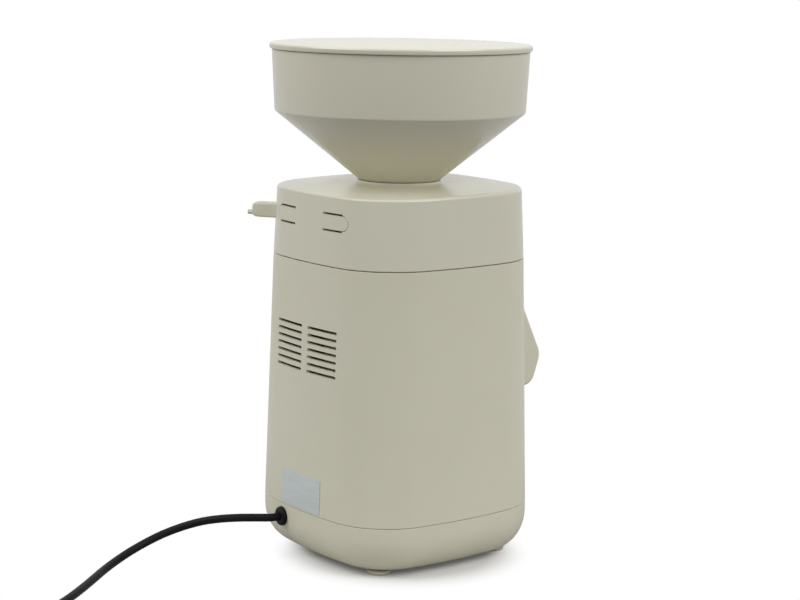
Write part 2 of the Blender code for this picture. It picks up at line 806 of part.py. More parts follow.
def tab_prisms(sides, opening):
    """A tab's outline pushed through the back wall, on each side that is asked for."""
    bm = bmesh.new()
    for side in sides:
        rings = []
        for y in (-HALF_WIDTH_SEAM * 0.8, -HALF_WIDTH_SEAM * 1.1):
            rings.append([Vector((side * x, y, TAB_LEVEL + z)) for x, z in tab_outline(opening)])
        bridge(bm, rings)
    bmesh.ops.recalc_face_normals(bm, faces=bm.faces)
    return bm


def release_tab(name, side):
    """A tongue cut from the wall, with an arm inside that ends in a hook below the catch."""
    x_axis = side * TAB_ROOT
    y_axis = -side_y(TAB_LEVEL, TAB_ROOT, CASE_WALL / 2)
    wall = loft([
        case_ring(SHOULDER - CASE_WALL, CASE_WALL), case_ring(SHOULDER - CASE_WALL, 0),
        case_ring(TOP_SEAM, 0), case_ring(TOP_SEAM, CASE_WALL),
    ], closed=True)
    bmesh.ops.translate(wall, verts=wall.verts, vec=(-x_axis, -y_axis, 0))
    tab = to_object(name, wall)
    combine(tab, cutter(name + "_outline", tab_prisms((side,), False)), "INTERSECT")

    arm = bmesh.new()
    face = tab_catch_face() - 2 * FIT_GAP
    depth = TAB_ARM_DEPTH
    hook_top = TOP_SEAM - SEAT_GAP - 2 * LIP_HEIGHT - LEDGE_HEIGHT / 2 - SEAT_GAP
    bottom = hook_top - LEDGE_HEIGHT
    outer = side_y(TAB_LEVEL, tab_arm_x(), CASE_WALL / 2)
    high = TAB_LEVEL + TAB_HEIGHT / 2 - FIT_GAP
    size = (TAB_ARM - FIT_GAP, depth, high - bottom)
    add_box(arm, size, (side * tab_arm_x(), -(face - depth / 2), (high + bottom) / 2))
    combine(tab, cutter(name + "_arm", arm), "UNION")
    root = bmesh.new()
    size = (TAB_ARM - 2 * FIT_GAP, outer - face + depth / 2, TAB_HEIGHT - 4 * FIT_GAP)
    add_box(root, size, (side * tab_arm_x(), -(outer + face - depth / 2) / 2, TAB_LEVEL))
    combine(tab, cutter(name + "_root", root), "UNION")
    hook = bmesh.new()
    reach = tab_catch_face() - FIT_GAP
    size = (TAB_ARM - 2 * FIT_GAP, depth, LEDGE_HEIGHT * 0.8)
    add_box(hook, size, (side * tab_arm_x(), -(reach - depth / 2), bottom + LEDGE_HEIGHT / 2))
    combine(tab, cutter(name + "_hook", hook), "UNION")
    finish(tab, CREAM, at=(x_axis, y_axis, 0))


# Motor

def shield(name, level, upward):
    """A cast bearing shield: hub with the bearing's seat, plate with air holes, rim on the stator."""
    seat = BEARING_RADIUS + FIT_GAP
    hub = BEARING_RADIUS + SHIELD_PLATE
    lip = BEARING_RADIUS - 0.003
    rim = WINDING_ROOM + SHIELD_PLATE - SEAT_GAP
    profile = [
        (seat, BEARING_WIDTH),
        (hub, BEARING_WIDTH),
        (hub, SHIELD_PLATE),
        (bolt_circle() - SHIELD_PLATE, SHIELD_PLATE),
        (bolt_circle() - SHIELD_PLATE, rim),
        (STATOR_RADIUS, rim),
        (STATOR_RADIUS, 0),
        (hub, 0),
        (hub, -0.0015),
        (lip, -0.0015),
        (lip, -SEAT_GAP),
        (seat, -SEAT_GAP),
    ]
    if not upward:
        profile = [(radius, -z) for radius, z in profile][::-1]
    item = turned(name, profile, 20)
    tool = bmesh.new()
    middle = (hub + bolt_circle() - SHIELD_PLATE) / 2
    span = (bolt_circle() - SHIELD_PLATE - hub) / 2 - 0.002
    for x, y in around(middle, range(0, 360, 60)):
        add_rod(tool, span, -SHIELD_PLATE * 1.5, SHIELD_PLATE * 1.5, x, y, 6)
    for x, y in bolt_places():
        add_rod(tool, MOTOR_BOLT_RADIUS + FIT_GAP, -2 * rim, 2 * rim, x, y, 8)
    combine(item, cutter(name + "_holes", tool, (0, 0, level)))
    finish(item, (0.62, 0.63, 0.64), 0.45, 1.0, at=(0, 0, level))


def bolt_circle():
    return STATOR_RADIUS - 2 * MOTOR_BOLT_RADIUS


def bolt_places():
    return around(bolt_circle(), (45, 135, 225, 315))


def stator():
    core = turned("stator_core", [
        (STATOR_BORE, STATOR_STACK), (STATOR_RADIUS, STATOR_STACK), (STATOR_RADIUS, 0), (STATOR_BORE, 0),
    ], 32)
    holes = bmesh.new()
    for x, y in bolt_places():
        add_rod(holes, MOTOR_BOLT_RADIUS + FIT_GAP, -STATOR_STACK, 2 * STATOR_STACK, x, y, 8)
    combine(core, cutter("stator_holes", holes, (0, 0, STATOR_BOTTOM)))
    finish(core, (0.35, 0.35, 0.37), 0.5, 1.0, at=(0, 0, STATOR_BOTTOM))

    inner = STATOR_BORE + 0.002
    outer = bolt_circle() - SHIELD_PLATE - 0.002
    edge = (outer - inner) / 3
    high = WINDING_HEIGHT
    profile = [
        (inner, high), (outer - edge, high), (outer, high - edge),
        (outer, edge), (outer - edge, 0), (inner, 0),
    ]
    below = STATOR_BOTTOM - SEAT_GAP - WINDING_HEIGHT
    for name, level in (("lower_winding", below), ("upper_winding", STATOR_TOP + SEAT_GAP)):
        finish(turned(name, profile, 16), (0.55, 0.22, 0.08), 0.4, 0.6, at=(0, 0, level))


def motor_bolts():
    head = MOTOR_BOLT_RADIUS * 1.6
    level = LOWER_SHIELD - SEAT_GAP
    length = PLATE_TOP - level - SEAT_GAP
    screw_set("motor_bolt", bolt_places(), level, head, head * 0.9, MOTOR_BOLT_RADIUS, length, up=True)


def bearing(name, level):
    width = BEARING_WIDTH - SEAT_GAP
    inner = SHAFT_RADIUS - SHAFT_STEP + FIT_GAP
    chamfer = 0.0006
    profile = [
        (inner, width), (BEARING_RADIUS - chamfer, width), (BEARING_RADIUS, width - chamfer),
        (BEARING_RADIUS, 0), (inner, 0),
    ]
    finish(turned(name, profile, 16), (0.7, 0.7, 0.72), 0.25, 1.0, at=(0, 0, level))


def motor_shaft():
    """The stepped shaft, from the fan below to the stone carrier's thread above."""
    journal = SHAFT_RADIUS - SHAFT_STEP
    tail = journal - SHAFT_STEP
    low = FAN_BOTTOM - 0.002
    edge = 0.0008
    shoulder = CARRIER_BOTTOM - CARRIER_HUB - SEAT_GAP
    top = carrier_nut_level() + CARRIER_NUT + 0.004
    profile = [
        (0, top),
        (tail - edge, top),
        (tail, top - edge),
        (tail, CARRIER_TOP),
        (journal, CARRIER_TOP),
        (journal, shoulder),
        (journal + SEAL_STEP, shoulder),
        (journal + SEAL_STEP, UPPER_SHIELD_TOP + 0.002),
        (journal, UPPER_SHIELD_TOP + 0.002),
        (journal, STATOR_TOP + 0.004),
        (SHAFT_RADIUS, STATOR_TOP + 0.004),
        (SHAFT_RADIUS, STATOR_BOTTOM - 0.004),
        (journal, STATOR_BOTTOM - 0.004),
        (journal, LOWER_SHIELD - 0.002),
        (tail, LOWER_SHIELD - 0.002),
        (tail, low),
        (0, low),
    ]
    finish(turned("motor_shaft", profile, 12, closed=False), (0.62, 0.62, 0.65), 0.25, 1.0)


def rotor_core():
    outer = STATOR_BORE - RUNNING_GAP
    bore = SHAFT_RADIUS + FIT_GAP
    ring = 0.006
    profile = [
        (outer - ring, STATOR_STACK + ring / 2), (outer, STATOR_STACK + ring / 2),
        (outer, -ring / 2), (outer - ring, -ring / 2), (outer - ring, 0), (bore, 0),
        (bore, STATOR_STACK), (outer - ring, STATOR_STACK),
    ]
    finish(turned("rotor_core", profile, 24), (0.45, 0.45, 0.47), 0.45, 1.0, at=(0, 0, STATOR_BOTTOM))


def cooling_fan():
    """A radial fan: hub, back plate above and straight blades below it."""
    bore = SHAFT_RADIUS - 2 * SHAFT_STEP + FIT_GAP
    hub = SHAFT_RADIUS + 0.004
    plate = 0.002
    profile = [
        (bore, FAN_HEIGHT), (FAN_RADIUS, FAN_HEIGHT), (FAN_RADIUS, FAN_HEIGHT - plate),
        (hub, FAN_HEIGHT - plate), (hub, 0), (bore, 0),
    ]
    fan = turned("cooling_fan", profile, 18)
    blades = bmesh.new()
    length = FAN_RADIUS - hub - 0.004
    for blade in range(FAN_BLADES):
        turn = 4 * QUARTER * blade / FAN_BLADES
        size = (length, 0.0014, FAN_HEIGHT - plate * 1.5)
        middle = (hub + 0.003 + length / 2, 0, FAN_HEIGHT / 2)
        add_box(blades, size, middle, turn)
    combine(fan, cutter("fan_blades", blades, (0, 0, FAN_BOTTOM)), "UNION")
    finish(fan, (0.12, 0.12, 0.13), 0.5, at=(0, 0, FAN_BOTTOM))


def plate_screw_places():
    corner = math.sqrt(2) * corner_centre(half_width(PLATE_TOP)) + CORNER_RADIUS - CASE_WALL
    return around(corner - LEDGE_WIDTH * 0.6, (45, 135, 225, 315))


def capacitor_stud():
    return CAPACITOR_RADIUS * 0.27


def capacitor_place():
    """Clear of the stator below the plate, and its nut clear of the chamber's flange above."""
    nut = capacitor_stud() * CAPACITOR_NUT_SHARE
    beside_motor = STATOR_RADIUS + CAPACITOR_RADIUS + CAPACITOR_GAP
    beside_flange = CHAMBER_RADIUS + CHAMBER_WALL + FLANGE_WIDTH + nut + FIT_GAP
    return around(max(beside_motor, beside_flange), (225,))[0]


def motor_plate():
    """The steel plate that hangs the motor from the case's ledge and carries the chamber."""
    inset = CASE_WALL + FIT_GAP
    rings = [case_ring(PLATE_TOP, inset), case_ring(PLATE_BOTTOM, inset)]
    plate = to_object("motor_plate", loft(rings))
    holes = bmesh.new()
    low = PLATE_BOTTOM - MOTOR_PLATE
    high = PLATE_TOP + MOTOR_PLATE
    add_rod(holes, BEARING_RADIUS + SHIELD_PLATE + 2 * RUNNING_GAP, low, high, steps=20)
    for x, y in bolt_places():
        add_rod(holes, MOTOR_BOLT_RADIUS + FIT_GAP, low, high, x, y, 8)
    for x, y in chamber_screw_places():
        add_rod(holes, MOTOR_BOLT_RADIUS, low, high, x, y, 8)
    x, y = capacitor_place()
    add_rod(holes, capacitor_stud() + FIT_GAP, low, high, x, y, 12)
    combine(plate, cutter("plate_holes", holes))
    fixings = screw_solids(
        plate_screw_places(), PLATE_TOP - FIT_GAP / 3, CASE_SCREW_HEAD * 0.9, 0.002,
        CASE_SCREW_RADIUS - FIT_GAP, MOTOR_PLATE + LEDGE_HEIGHT * 0.7,
    )
    combine(plate, cutter("plate_screws", fixings), "UNION")
    finish(plate, (0.66, 0.67, 0.68), 0.35, 1.0)


def capacitor():
    """The motor's running capacitor, hung from the plate by its stud and a nut."""
    x, y = capacitor_place()
    stud = capacitor_stud()
    top = CAPACITOR_HEIGHT
    profile = [
        (0, top + MOTOR_PLATE + 0.006), (stud, top + MOTOR_PLATE + 0.006), (stud, top),
        (CAPACITOR_RADIUS - 0.001, top), (CAPACITOR_RADIUS, top - 0.001), (CAPACITOR_RADIUS, 0.001),
        (CAPACITOR_RADIUS - 0.001, 0), (0, 0),
    ]
    level = PLATE_BOTTOM - SEAT_GAP - CAPACITOR_HEIGHT
    finish(turned("capacitor", profile, 14, closed=False), (0.75, 0.76, 0.78), 0.4, at=(x, y, level))
    nut = turned("capacitor_nut", [
        (stud + FIT_GAP, 0.0035), (stud * CAPACITOR_NUT_SHARE, 0.0035), (stud * CAPACITOR_NUT_SHARE, 0),
        (stud + FIT_GAP, 0),
    ], 12)
    finish(nut, (0.6, 0.6, 0.62), 0.3, 1.0, at=(x, y, PLATE_TOP + SEAT_GAP))


def terminal_block():
    """Three screw terminals in a row, held to the underside of the motor plate."""
    cells = 3
    pitch = 0.008
    depth = 0.014
    height = 0.015
    bm = bmesh.new()
    add_box(bm, (cells * pitch, depth, height), (0, 0, -height / 2))
    bmesh.ops.bevel(
        bm, geom=bm.edges[:], offset=0.0008, segments=1, affect="EDGES", profile=0.5
    )
    block = to_object("terminal_block", bm)
    wells = bmesh.new()
    for cell in range(cells):
        x = (cell - (cells - 1) / 2) * pitch
        add_rod(wells, pitch * 0.3, -height * 1.5, -height * 0.5, x, 0, 8)
    reach = STATOR_RADIUS + depth / 2 + 0.003
    x, y = around(reach, (315,))[0]
    turn = (0, 0, math.radians(45))
    combine(block, cutter("terminal_wells", wells, (x, y, PLATE_BOTTOM - SEAT_GAP), turn))
    finish(block, (0.85, 0.85, 0.82), 0.6, at=(x, y, PLATE_BOTTOM - SEAT_GAP), turn=turn)


# Grinding chamber and stones

def chamber_screw_places():
    return around(CHAMBER_RADIUS + CHAMBER_WALL + FLANGE_WIDTH * 0.55, (0, 180, 240, 300))


def grinding_chamber():
    """The moulded cup round the stones, on a skirt and flange, with the flour outlet at the front."""
    outer = CHAMBER_RADIUS + CHAMBER_WALL
    floor = CHAMBER_SKIRT + CHAMBER_WALL
    boss = SEAL_RADIUS + CHAMBER_WALL
    pocket = SEAL_RADIUS + FIT_GAP
    pocket_floor = floor - SEAL_HEIGHT - SEAT_GAP
    profile = [
        (CHAMBER_RADIUS, floor + CHAMBER_DEPTH),
        (outer, floor + CHAMBER_DEPTH),
        (outer, CHAMBER_WALL),
        (outer + FLANGE_WIDTH, CHAMBER_WALL),
        (outer + FLANGE_WIDTH, 0),
        (CHAMBER_RADIUS, 0),
        (CHAMBER_RADIUS, CHAMBER_SKIRT),
        (boss, CHAMBER_SKIRT),
        (boss, pocket_floor - CHAMBER_WALL),
        (SHAFT_RADIUS + 0.002, pocket_floor - CHAMBER_WALL),
        (SHAFT_RADIUS + 0.002, pocket_floor),
        (pocket, pocket_floor),
        (pocket, floor),
        (CHAMBER_RADIUS, floor),
    ]
    chamber = turned("grinding_chamber", profile)
    outlet = bmesh.new()
    height = chute_inner_height()
    size = (CHUTE_WIDTH - 2 * SPOUT_WALL, 4 * CHAMBER_WALL, height)
    add_box(outlet, size, (0, outer - CHAMBER_WALL / 2, floor + SEAT_GAP + height / 2))
    combine(chamber, cutter("chamber_outlet", outlet, (0, 0, CHAMBER_BASE)))
    fixings = screw_solids(
        chamber_screw_places(), CHAMBER_WALL - FIT_GAP / 3, MOTOR_BOLT_RADIUS * 1.7, 0.002,
        MOTOR_BOLT_RADIUS - FIT_GAP, CHAMBER_WALL + MOTOR_PLATE,
    )
    combine(chamber, cutter("chamber_screws", fixings, (0, 0, CHAMBER_BASE)), "UNION")
    finish(chamber, (0.72, 0.70, 0.62), 0.5, at=(0, 0, CHAMBER_BASE))


def chamber_seals():
    """The felt ring round the shaft and the rubber gasket on the chamber's rim."""
    bore = SHAFT_RADIUS - SHAFT_STEP + SEAL_STEP + FIT_GAP
    seal = turned("shaft_seal", [
        (bore, SEAL_HEIGHT), (SEAL_RADIUS, SEAL_HEIGHT), (SEAL_RADIUS, 0), (bore, 0),
    ], 16)
    finish(seal, (0.75, 0.72, 0.62), 0.95, at=(0, 0, CHAMBER_FLOOR - SEAL_HEIGHT))
    inner = CHAMBER_RADIUS + FIT_GAP
    outer = CHAMBER_RADIUS + CHAMBER_WALL
    gasket = turned("chamber_gasket", [
        (inner, GASKET_HEIGHT), (outer, GASKET_HEIGHT), (outer, 0), (inner, 0),
    ])
    finish(gasket, (0.1, 0.1, 0.1), 0.8, at=(0, 0, GASKET_BOTTOM))


def stone_carrier():
    """The steel disc that drives the lower stone, with a pilot boss in the stone's eye."""
    bore = SHAFT_RADIUS - SHAFT_STEP + FIT_GAP
    pilot = STONE_EYE - FIT_GAP
    rim = STONE_RADIUS - 0.001
    profile = [
        (bore, CARRIER_DISC + CARRIER_PILOT),
        (pilot, CARRIER_DISC + CARRIER_PILOT),
        (pilot, CARRIER_DISC),
        (rim, CARRIER_DISC),
        (rim, 0),
        (SWEEPER_BORE, 0),
        (SWEEPER_BORE, -CARRIER_HUB),
        (bore, -CARRIER_HUB),
    ]
    finish(turned("stone_carrier", profile), (0.6, 0.6, 0.62), 0.35, 1.0, at=(0, 0, CARRIER_BOTTOM))


def flour_sweeper():
    """A ring under the carrier with two paddles that push the flour to the outlet."""
    low = CHAMBER_FLOOR + SWEEPER_GAP - CARRIER_BOTTOM
    high = -2 * SEAT_GAP
    bore = SWEEPER_BORE + FIT_GAP
    outer = STONE_RADIUS - SWEEPER_RIM
    ring = turned("flour_sweeper", [
        (bore, -SEAT_GAP), (outer, -SEAT_GAP),
        (outer, -SEAT_GAP - SWEEPER_PLATE), (bore, -SEAT_GAP - SWEEPER_PLATE),
    ])
    paddles = bmesh.new()
    tall = bmesh.new()
    tip = CHAMBER_RADIUS - PADDLE_TIP_GAP
    root = outer - 3 * PADDLE_WIDTH
    blade = STONE_RADIUS + RUNNING_GAP
    for turn in (0, 2 * QUARTER):
        size = (tip - root, PADDLE_WIDTH, high - low)
        add_box(paddles, size, ((tip + root) / 2, 0, (low + high) / 2), turn)
        size = (tip - FIT_GAP - blade, PADDLE_WIDTH - 2 * FIT_GAP, CARRIER_DISC - low - SEAT_GAP)
        add_box(tall, size, ((tip - FIT_GAP + blade) / 2, 0, (low + CARRIER_DISC - SEAT_GAP) / 2), turn)
    at = (0, 0, CARRIER_BOTTOM)
    combine(ring, cutter("sweeper_paddles", paddles, at), "UNION")
    combine(ring, cutter("sweeper_blades", tall, at), "UNION")
    finish(ring, (0.82, 0.80, 0.72), 0.5, at=at)


def carrier_nut_level():
    return CARRIER_TOP + CARRIER_PILOT + SEAT_GAP


def carrier_nut():
    bore = SHAFT_RADIUS - 2 * SHAFT_STEP + FIT_GAP
    outer = CARRIER_NUT_RADIUS
    edge = 0.001
    nut = turned("carrier_nut", [
        (bore, CARRIER_NUT), (outer - edge, CARRIER_NUT), (outer, CARRIER_NUT - edge), (outer, 0), (bore, 0),
    ], 12)
    finish(nut, (0.6, 0.6, 0.62), 0.3, 1.0, at=(0, 0, carrier_nut_level()))


def furrow_tool(name, face_level):
    """Skewed grooves across a grinding face, spread evenly round the eye."""
    bm = bmesh.new()
    length = STONE_RADIUS * 1.1
    for furrow in range(FURROWS):
        turn = 4 * QUARTER * furrow / FURROWS
        start = STONE_EYE + 0.003 + length / 2
        add_box(bm, (length, FURROW_WIDTH, 2 * FURROW_DEPTH), (start, STONE_EYE * 0.5, 0), turn)
    return cutter(name, bm, (0, 0, face_level))


def millstone(name, level, face_level, eye):
    edge = 0.0008
    stone = turned(name, [
        (eye, STONE_HEIGHT), (STONE_RADIUS - edge, STONE_HEIGHT), (STONE_RADIUS, STONE_HEIGHT - edge),
        (STONE_RADIUS, edge), (STONE_RADIUS - edge, 0), (eye, 0),
    ])
    combine(stone, furrow_tool(name + "_furrows", face_level))
    finish(stone, (0.72, 0.70, 0.66), 0.95, at=(0, 0, level))


def millstones():
    millstone("lower_stone", LOWER_STONE, LOWER_STONE + STONE_HEIGHT, STONE_EYE)
    millstone("upper_stone", UPPER_STONE, UPPER_STONE, STONE_EYE + 0.001)


# Gap adjustment

def post_places():
    return around(SKIRT_RADIUS - POST_RADIUS * 0.8, (-110, -40, 40, 110))


def guide_places():
    return around(GUIDE_CIRCLE, (90, 270))


def stone_holder():
    """The plate over the upper stone with the threaded feed tube, kept from turning by two pins."""
    inner = HUB_RADIUS - HUB_WALL
    top = hub_height()
    profile = [
        (inner, top), (HUB_RADIUS - 0.0008, top), (HUB_RADIUS, top - 0.0008), (HUB_RADIUS, HOLDER_PLATE),
        (STONE_RADIUS + 0.001, HOLDER_PLATE), (STONE_RADIUS + 0.001, 0), (inner - 0.003, 0),
    ]
    holder = turned("stone_holder", profile)
    holes = bmesh.new()
    for x, y in guide_places():
        add_rod(holes, PIN_RADIUS + RUNNING_GAP, -HOLDER_PLATE, 2 * HOLDER_PLATE, x, y, 10)
    combine(holder, cutter("holder_holes", holes, (0, 0, HOLDER_BOTTOM)))
    finish(holder, (0.7, 0.7, 0.72), 0.35, 1.0, at=(0, 0, HOLDER_BOTTOM))


def hub_height():
    return RING_TOP - 0.003 - STONE_LIFT - HOLDER_BOTTOM


def bearing_plate():
    """The plate that carries the adjusting ring, with a skirt to the gasket and two guide pins."""
    bore = HUB_RADIUS + 0.002
    outer = SKIRT_RADIUS + SKIRT_WALL
    low = GASKET_TOP + SEAT_GAP - PLATE_LEVEL
    profile = [
        (bore, BEARING_PLATE), (outer, BEARING_PLATE), (outer, low), (SKIRT_RADIUS, low),
        (SKIRT_RADIUS, 0), (bore, 0),
    ]
    plate = turned("bearing_plate", profile)
    holes = bmesh.new()
    for x, y in post_places():
        add_rod(holes, POST_SCREW + FIT_GAP, -BEARING_PLATE, 2 * BEARING_PLATE, x, y, 10)
    combine(plate, cutter("bearing_plate_holes", holes, (0, 0, PLATE_LEVEL)))
    pins = bmesh.new()
    for x, y in guide_places():
        low = HOLDER_BOTTOM + HOLDER_PLATE * 0.8 - PLATE_LEVEL
        add_rod(pins, PIN_RADIUS, low, BEARING_PLATE * 0.7, x, y, 8)
    combine(plate, cutter("guide_pins", pins, (0, 0, PLATE_LEVEL)), "UNION")
    finish(plate, (0.72, 0.70, 0.62), 0.5, at=(0, 0, PLATE_LEVEL))
    screw_set(
        "bearing_plate_screw", post_places(), PLATE_LEVEL - SEAT_GAP, POST_SCREW * 1.8, 0.0018, POST_SCREW,
        POST_SCREW_LENGTH - BEARING_PLATE, up=True,
    )


def adjusting_ring():
    """The threaded ring on the bearing plate, notched for the lever's root."""
    bore = HUB_RADIUS + RUNNING_GAP
    outer = bore + RING_WIDTH
    edge = 0.001
    profile = [
        (bore, RING_HEIGHT), (outer - edge, RING_HEIGHT), (outer, RING_HEIGHT - edge), (outer, edge),
        (outer - edge, 0), (bore, 0),
    ]
    ring = turned("adjusting_ring", profile)
    notch = bmesh.new()
    low = LEVER_LEVEL - LEVER_HEIGHT / 2 - FIT_GAP - RING_BOTTOM
    size = (RING_WIDTH, LEVER_WIDTH + 2 * FIT_GAP, RING_HEIGHT)
    add_box(notch, size, (lever_root() - FIT_GAP + RING_WIDTH / 2, 0, low + RING_HEIGHT / 2))
    turn = (0, 0, math.radians(LEVER_REST_ANGLE))
    combine(ring, cutter("lever_notch", notch, (0, 0, RING_BOTTOM), turn))
    bore = bmesh.new()
    for x, y in lever_screw_places():
        add_rod(bore, LEVER_SCREW_RADIUS, low - LEVER_SCREW_GRIP - 5 * SEAT_GAP, low + SEAT_GAP, x, y, 8)
    combine(ring, cutter("lever_ring_bore", bore, (0, 0, RING_BOTTOM), turn))
    finish(ring, (0.78, 0.76, 0.66), 0.5, at=(0, 0, RING_BOTTOM))


def lever_root():
    return HUB_RADIUS + RING_WIDTH * 0.45


def lever_screw_places():
    """Along the lever, which lies on the local X axis."""
    return [(lever_root() + RING_WIDTH * 0.28, 0)]


def adjusting_lever():
    """The lever from the ring through the case's slot: a bar with a fuller, rounded grip end."""
    root = lever_root()
    reach = LEVER_REACH
    grip = reach - LEVER_GRIP_LENGTH
    slim = LEVER_HEIGHT / LEVER_TIP_HEIGHT
    sections = [
        (reach, 0.45, 0.50), (reach - 0.0012, 0.78, 0.82), (reach - 0.0035, 0.97, 0.97),
        (reach - 0.007, 1.0, 1.0), (grip, 1.0, 1.0), (grip - LEVER_GRIP_TAPER, slim, slim), (root, slim, slim),
    ]
    tip_width = LEVER_WIDTH / slim
    rings = []
    for x, wide, tall in sections:
        rings.append(section(
            (x, 0, 0), (0, 1, 0), (0, 0, 1),
            tip_width * wide / 2, LEVER_TIP_HEIGHT * tall / 2, LEVER_CORNER,
        ))
    bm = loft(rings)
    bmesh.ops.recalc_face_normals(bm, faces=bm.faces)
    lever = to_object("adjusting_lever", bm)
    turn = (0, 0, math.radians(LEVER_REST_ANGLE))
    at = (0, 0, LEVER_LEVEL)
    nub = bmesh.new()
    add_rod(nub, NUB_RADIUS, -NUB_LENGTH, NUB_LENGTH, steps=10)
    place = Matrix.Translation((reach, 0, -LEVER_TIP_HEIGHT * 0.22)) @ Matrix.Rotation(QUARTER, 4, "Y")
    bmesh.ops.transform(nub, matrix=place, verts=nub.verts)
    combine(lever, cutter("lever_nub", nub, at, turn), "UNION")
    bore = bmesh.new()
    for x, y in lever_screw_places():
        add_rod(bore, LEVER_SCREW_RADIUS, -LEVER_HEIGHT, LEVER_HEIGHT, x, y, 8)
    combine(lever, cutter("lever_bore", bore, at, turn))
    finish(lever, CREAM, at=at, turn=turn)

    radius = LEVER_SCREW_RADIUS
    screw = screw_solids(
        lever_screw_places(), LEVER_HEIGHT / 2 + SEAT_GAP, radius * 1.6, radius * 0.75,
        radius - FIT_GAP, LEVER_HEIGHT + LEVER_SCREW_GRIP,
    )
    finish(to_object("lever_screw", screw), (0.6, 0.6, 0.62), 0.3, 1.0, at=at, turn=turn)


def lever_sweep():
    """The band of wall that the lever sweeps, as a solid arc."""
    spare = math.degrees((LEVER_WIDTH / 2 + LEVER_SLOT_SPARE) / HALF_WIDTH_TOP)
    first = LEVER_REST_ANGLE - LEVER_TRAVEL - spare
    last = LEVER_REST_ANGLE + spare
    steps = 12
    angles = [first + (last - first) * step / steps for step in range(steps + 1)]
    plan = around(HALF_WIDTH_SEAM * 1.5, angles) + around(HALF_WIDTH_TOP * 0.75, angles[::-1])
    half = LEVER_TIP_HEIGHT / 2 + 2 * FIT_GAP
    levels = (LEVER_LEVEL + half, LEVER_LEVEL - half)
    return loft([[Vector((x, y, level)) for x, y in plan] for level in levels])


# Hopper and lid

def hopper():
    """A funnel: a tall round bin, a cone and a neck that plugs into the upper housing."""
    bottom = HOPPER_RADIUS - HOPPER_TAPER
    wall = HOPPER_WALL
    profile = [
        (HOPPER_RADIUS - wall, HOPPER_CONE + HOPPER_BIN),
        (HOPPER_RADIUS, HOPPER_CONE + HOPPER_BIN),
        (bottom, HOPPER_CONE),
        (NECK_RADIUS, 0),
        (NECK_TUBE, 0),
        (NECK_TUBE, -NECK_LENGTH),
        (NECK_TUBE - wall, -NECK_LENGTH),
        (NECK_TUBE - wall, wall),
        (bottom - wall, HOPPER_CONE + wall * 0.45),
    ]
    finish(turned("hopper", profile, 40), CREAM, 0.35, at=(0, 0, HOPPER_BASE))


def lid():
    """A flat lid with a rounded edge and a rim that drops inside the bin."""
    rim = HOPPER_RADIUS - HOPPER_WALL - 3 * FIT_GAP
    top = LID_THICKNESS
    profile = [
        (0, top), (LID_RADIUS - 0.0014, top), (LID_RADIUS - 0.0004, top - 0.0005),
        (LID_RADIUS, top - 0.0014), (LID_RADIUS, 0.0008), (LID_RADIUS - 0.0006, 0),
        (rim, 0), (rim, -LID_RIM_DEPTH), (rim - HOPPER_WALL * 0.8, -LID_RIM_DEPTH),
        (rim - HOPPER_WALL * 0.8, top - HOPPER_WALL), (0, top - HOPPER_WALL),
    ]
    finish(turned("lid", profile, 40, closed=False), CREAM, 0.35, at=(0, 0, LID_BOTTOM))


# Flour chute and spout

def chute_drop(y):
    """Height of the chute's underside at a distance from the shaft."""
    start = CHAMBER_RADIUS + CHAMBER_WALL
    return CHAMBER_FLOOR - SPOUT_WALL - (y - start) * math.tan(math.radians(CHUTE_SLOPE))


def chute_inner_height():
    return CHUTE_HEIGHT - 2 * SPOUT_WALL - 0.001


def chute_end():
    return side_y(chute_drop(HALF_WIDTH_SEAM), 0) - CASE_WALL * 0.3


def chute_window():
    """Lowest and highest point of the opening that the chute passes in the front wall."""
    inside = side_y(SPOUT_TIP_LEVEL, 0) - 2 * CASE_WALL
    return chute_drop(chute_end() + CASE_WALL) - RUNNING_GAP, chute_drop(inside) + CHUTE_HEIGHT + RUNNING_GAP


def flour_chute():
    """The sloping tube from the chamber's outlet to the front wall, shaped to the round chamber."""
    start = CHAMBER_RADIUS - 2 * CHAMBER_WALL
    end = chute_end()
    stations = []
    for y in (start, end):
        low = chute_drop(y)
        stations.append(((y, low + CHUTE_HEIGHT), (y, low)))
    chute = to_object("flour_chute", duct(stations, CHUTE_WIDTH / 2, CHUTE_CORNER, SPOUT_WALL))
    drum = bmesh.new()
    radius = CHAMBER_RADIUS + CHAMBER_WALL + SEAT_GAP
    add_rod(drum, radius, CHAMBER_BASE, CHAMBER_RIM, steps=48)
    combine(chute, cutter("chute_trim", drum))
    finish(chute, CREAM)


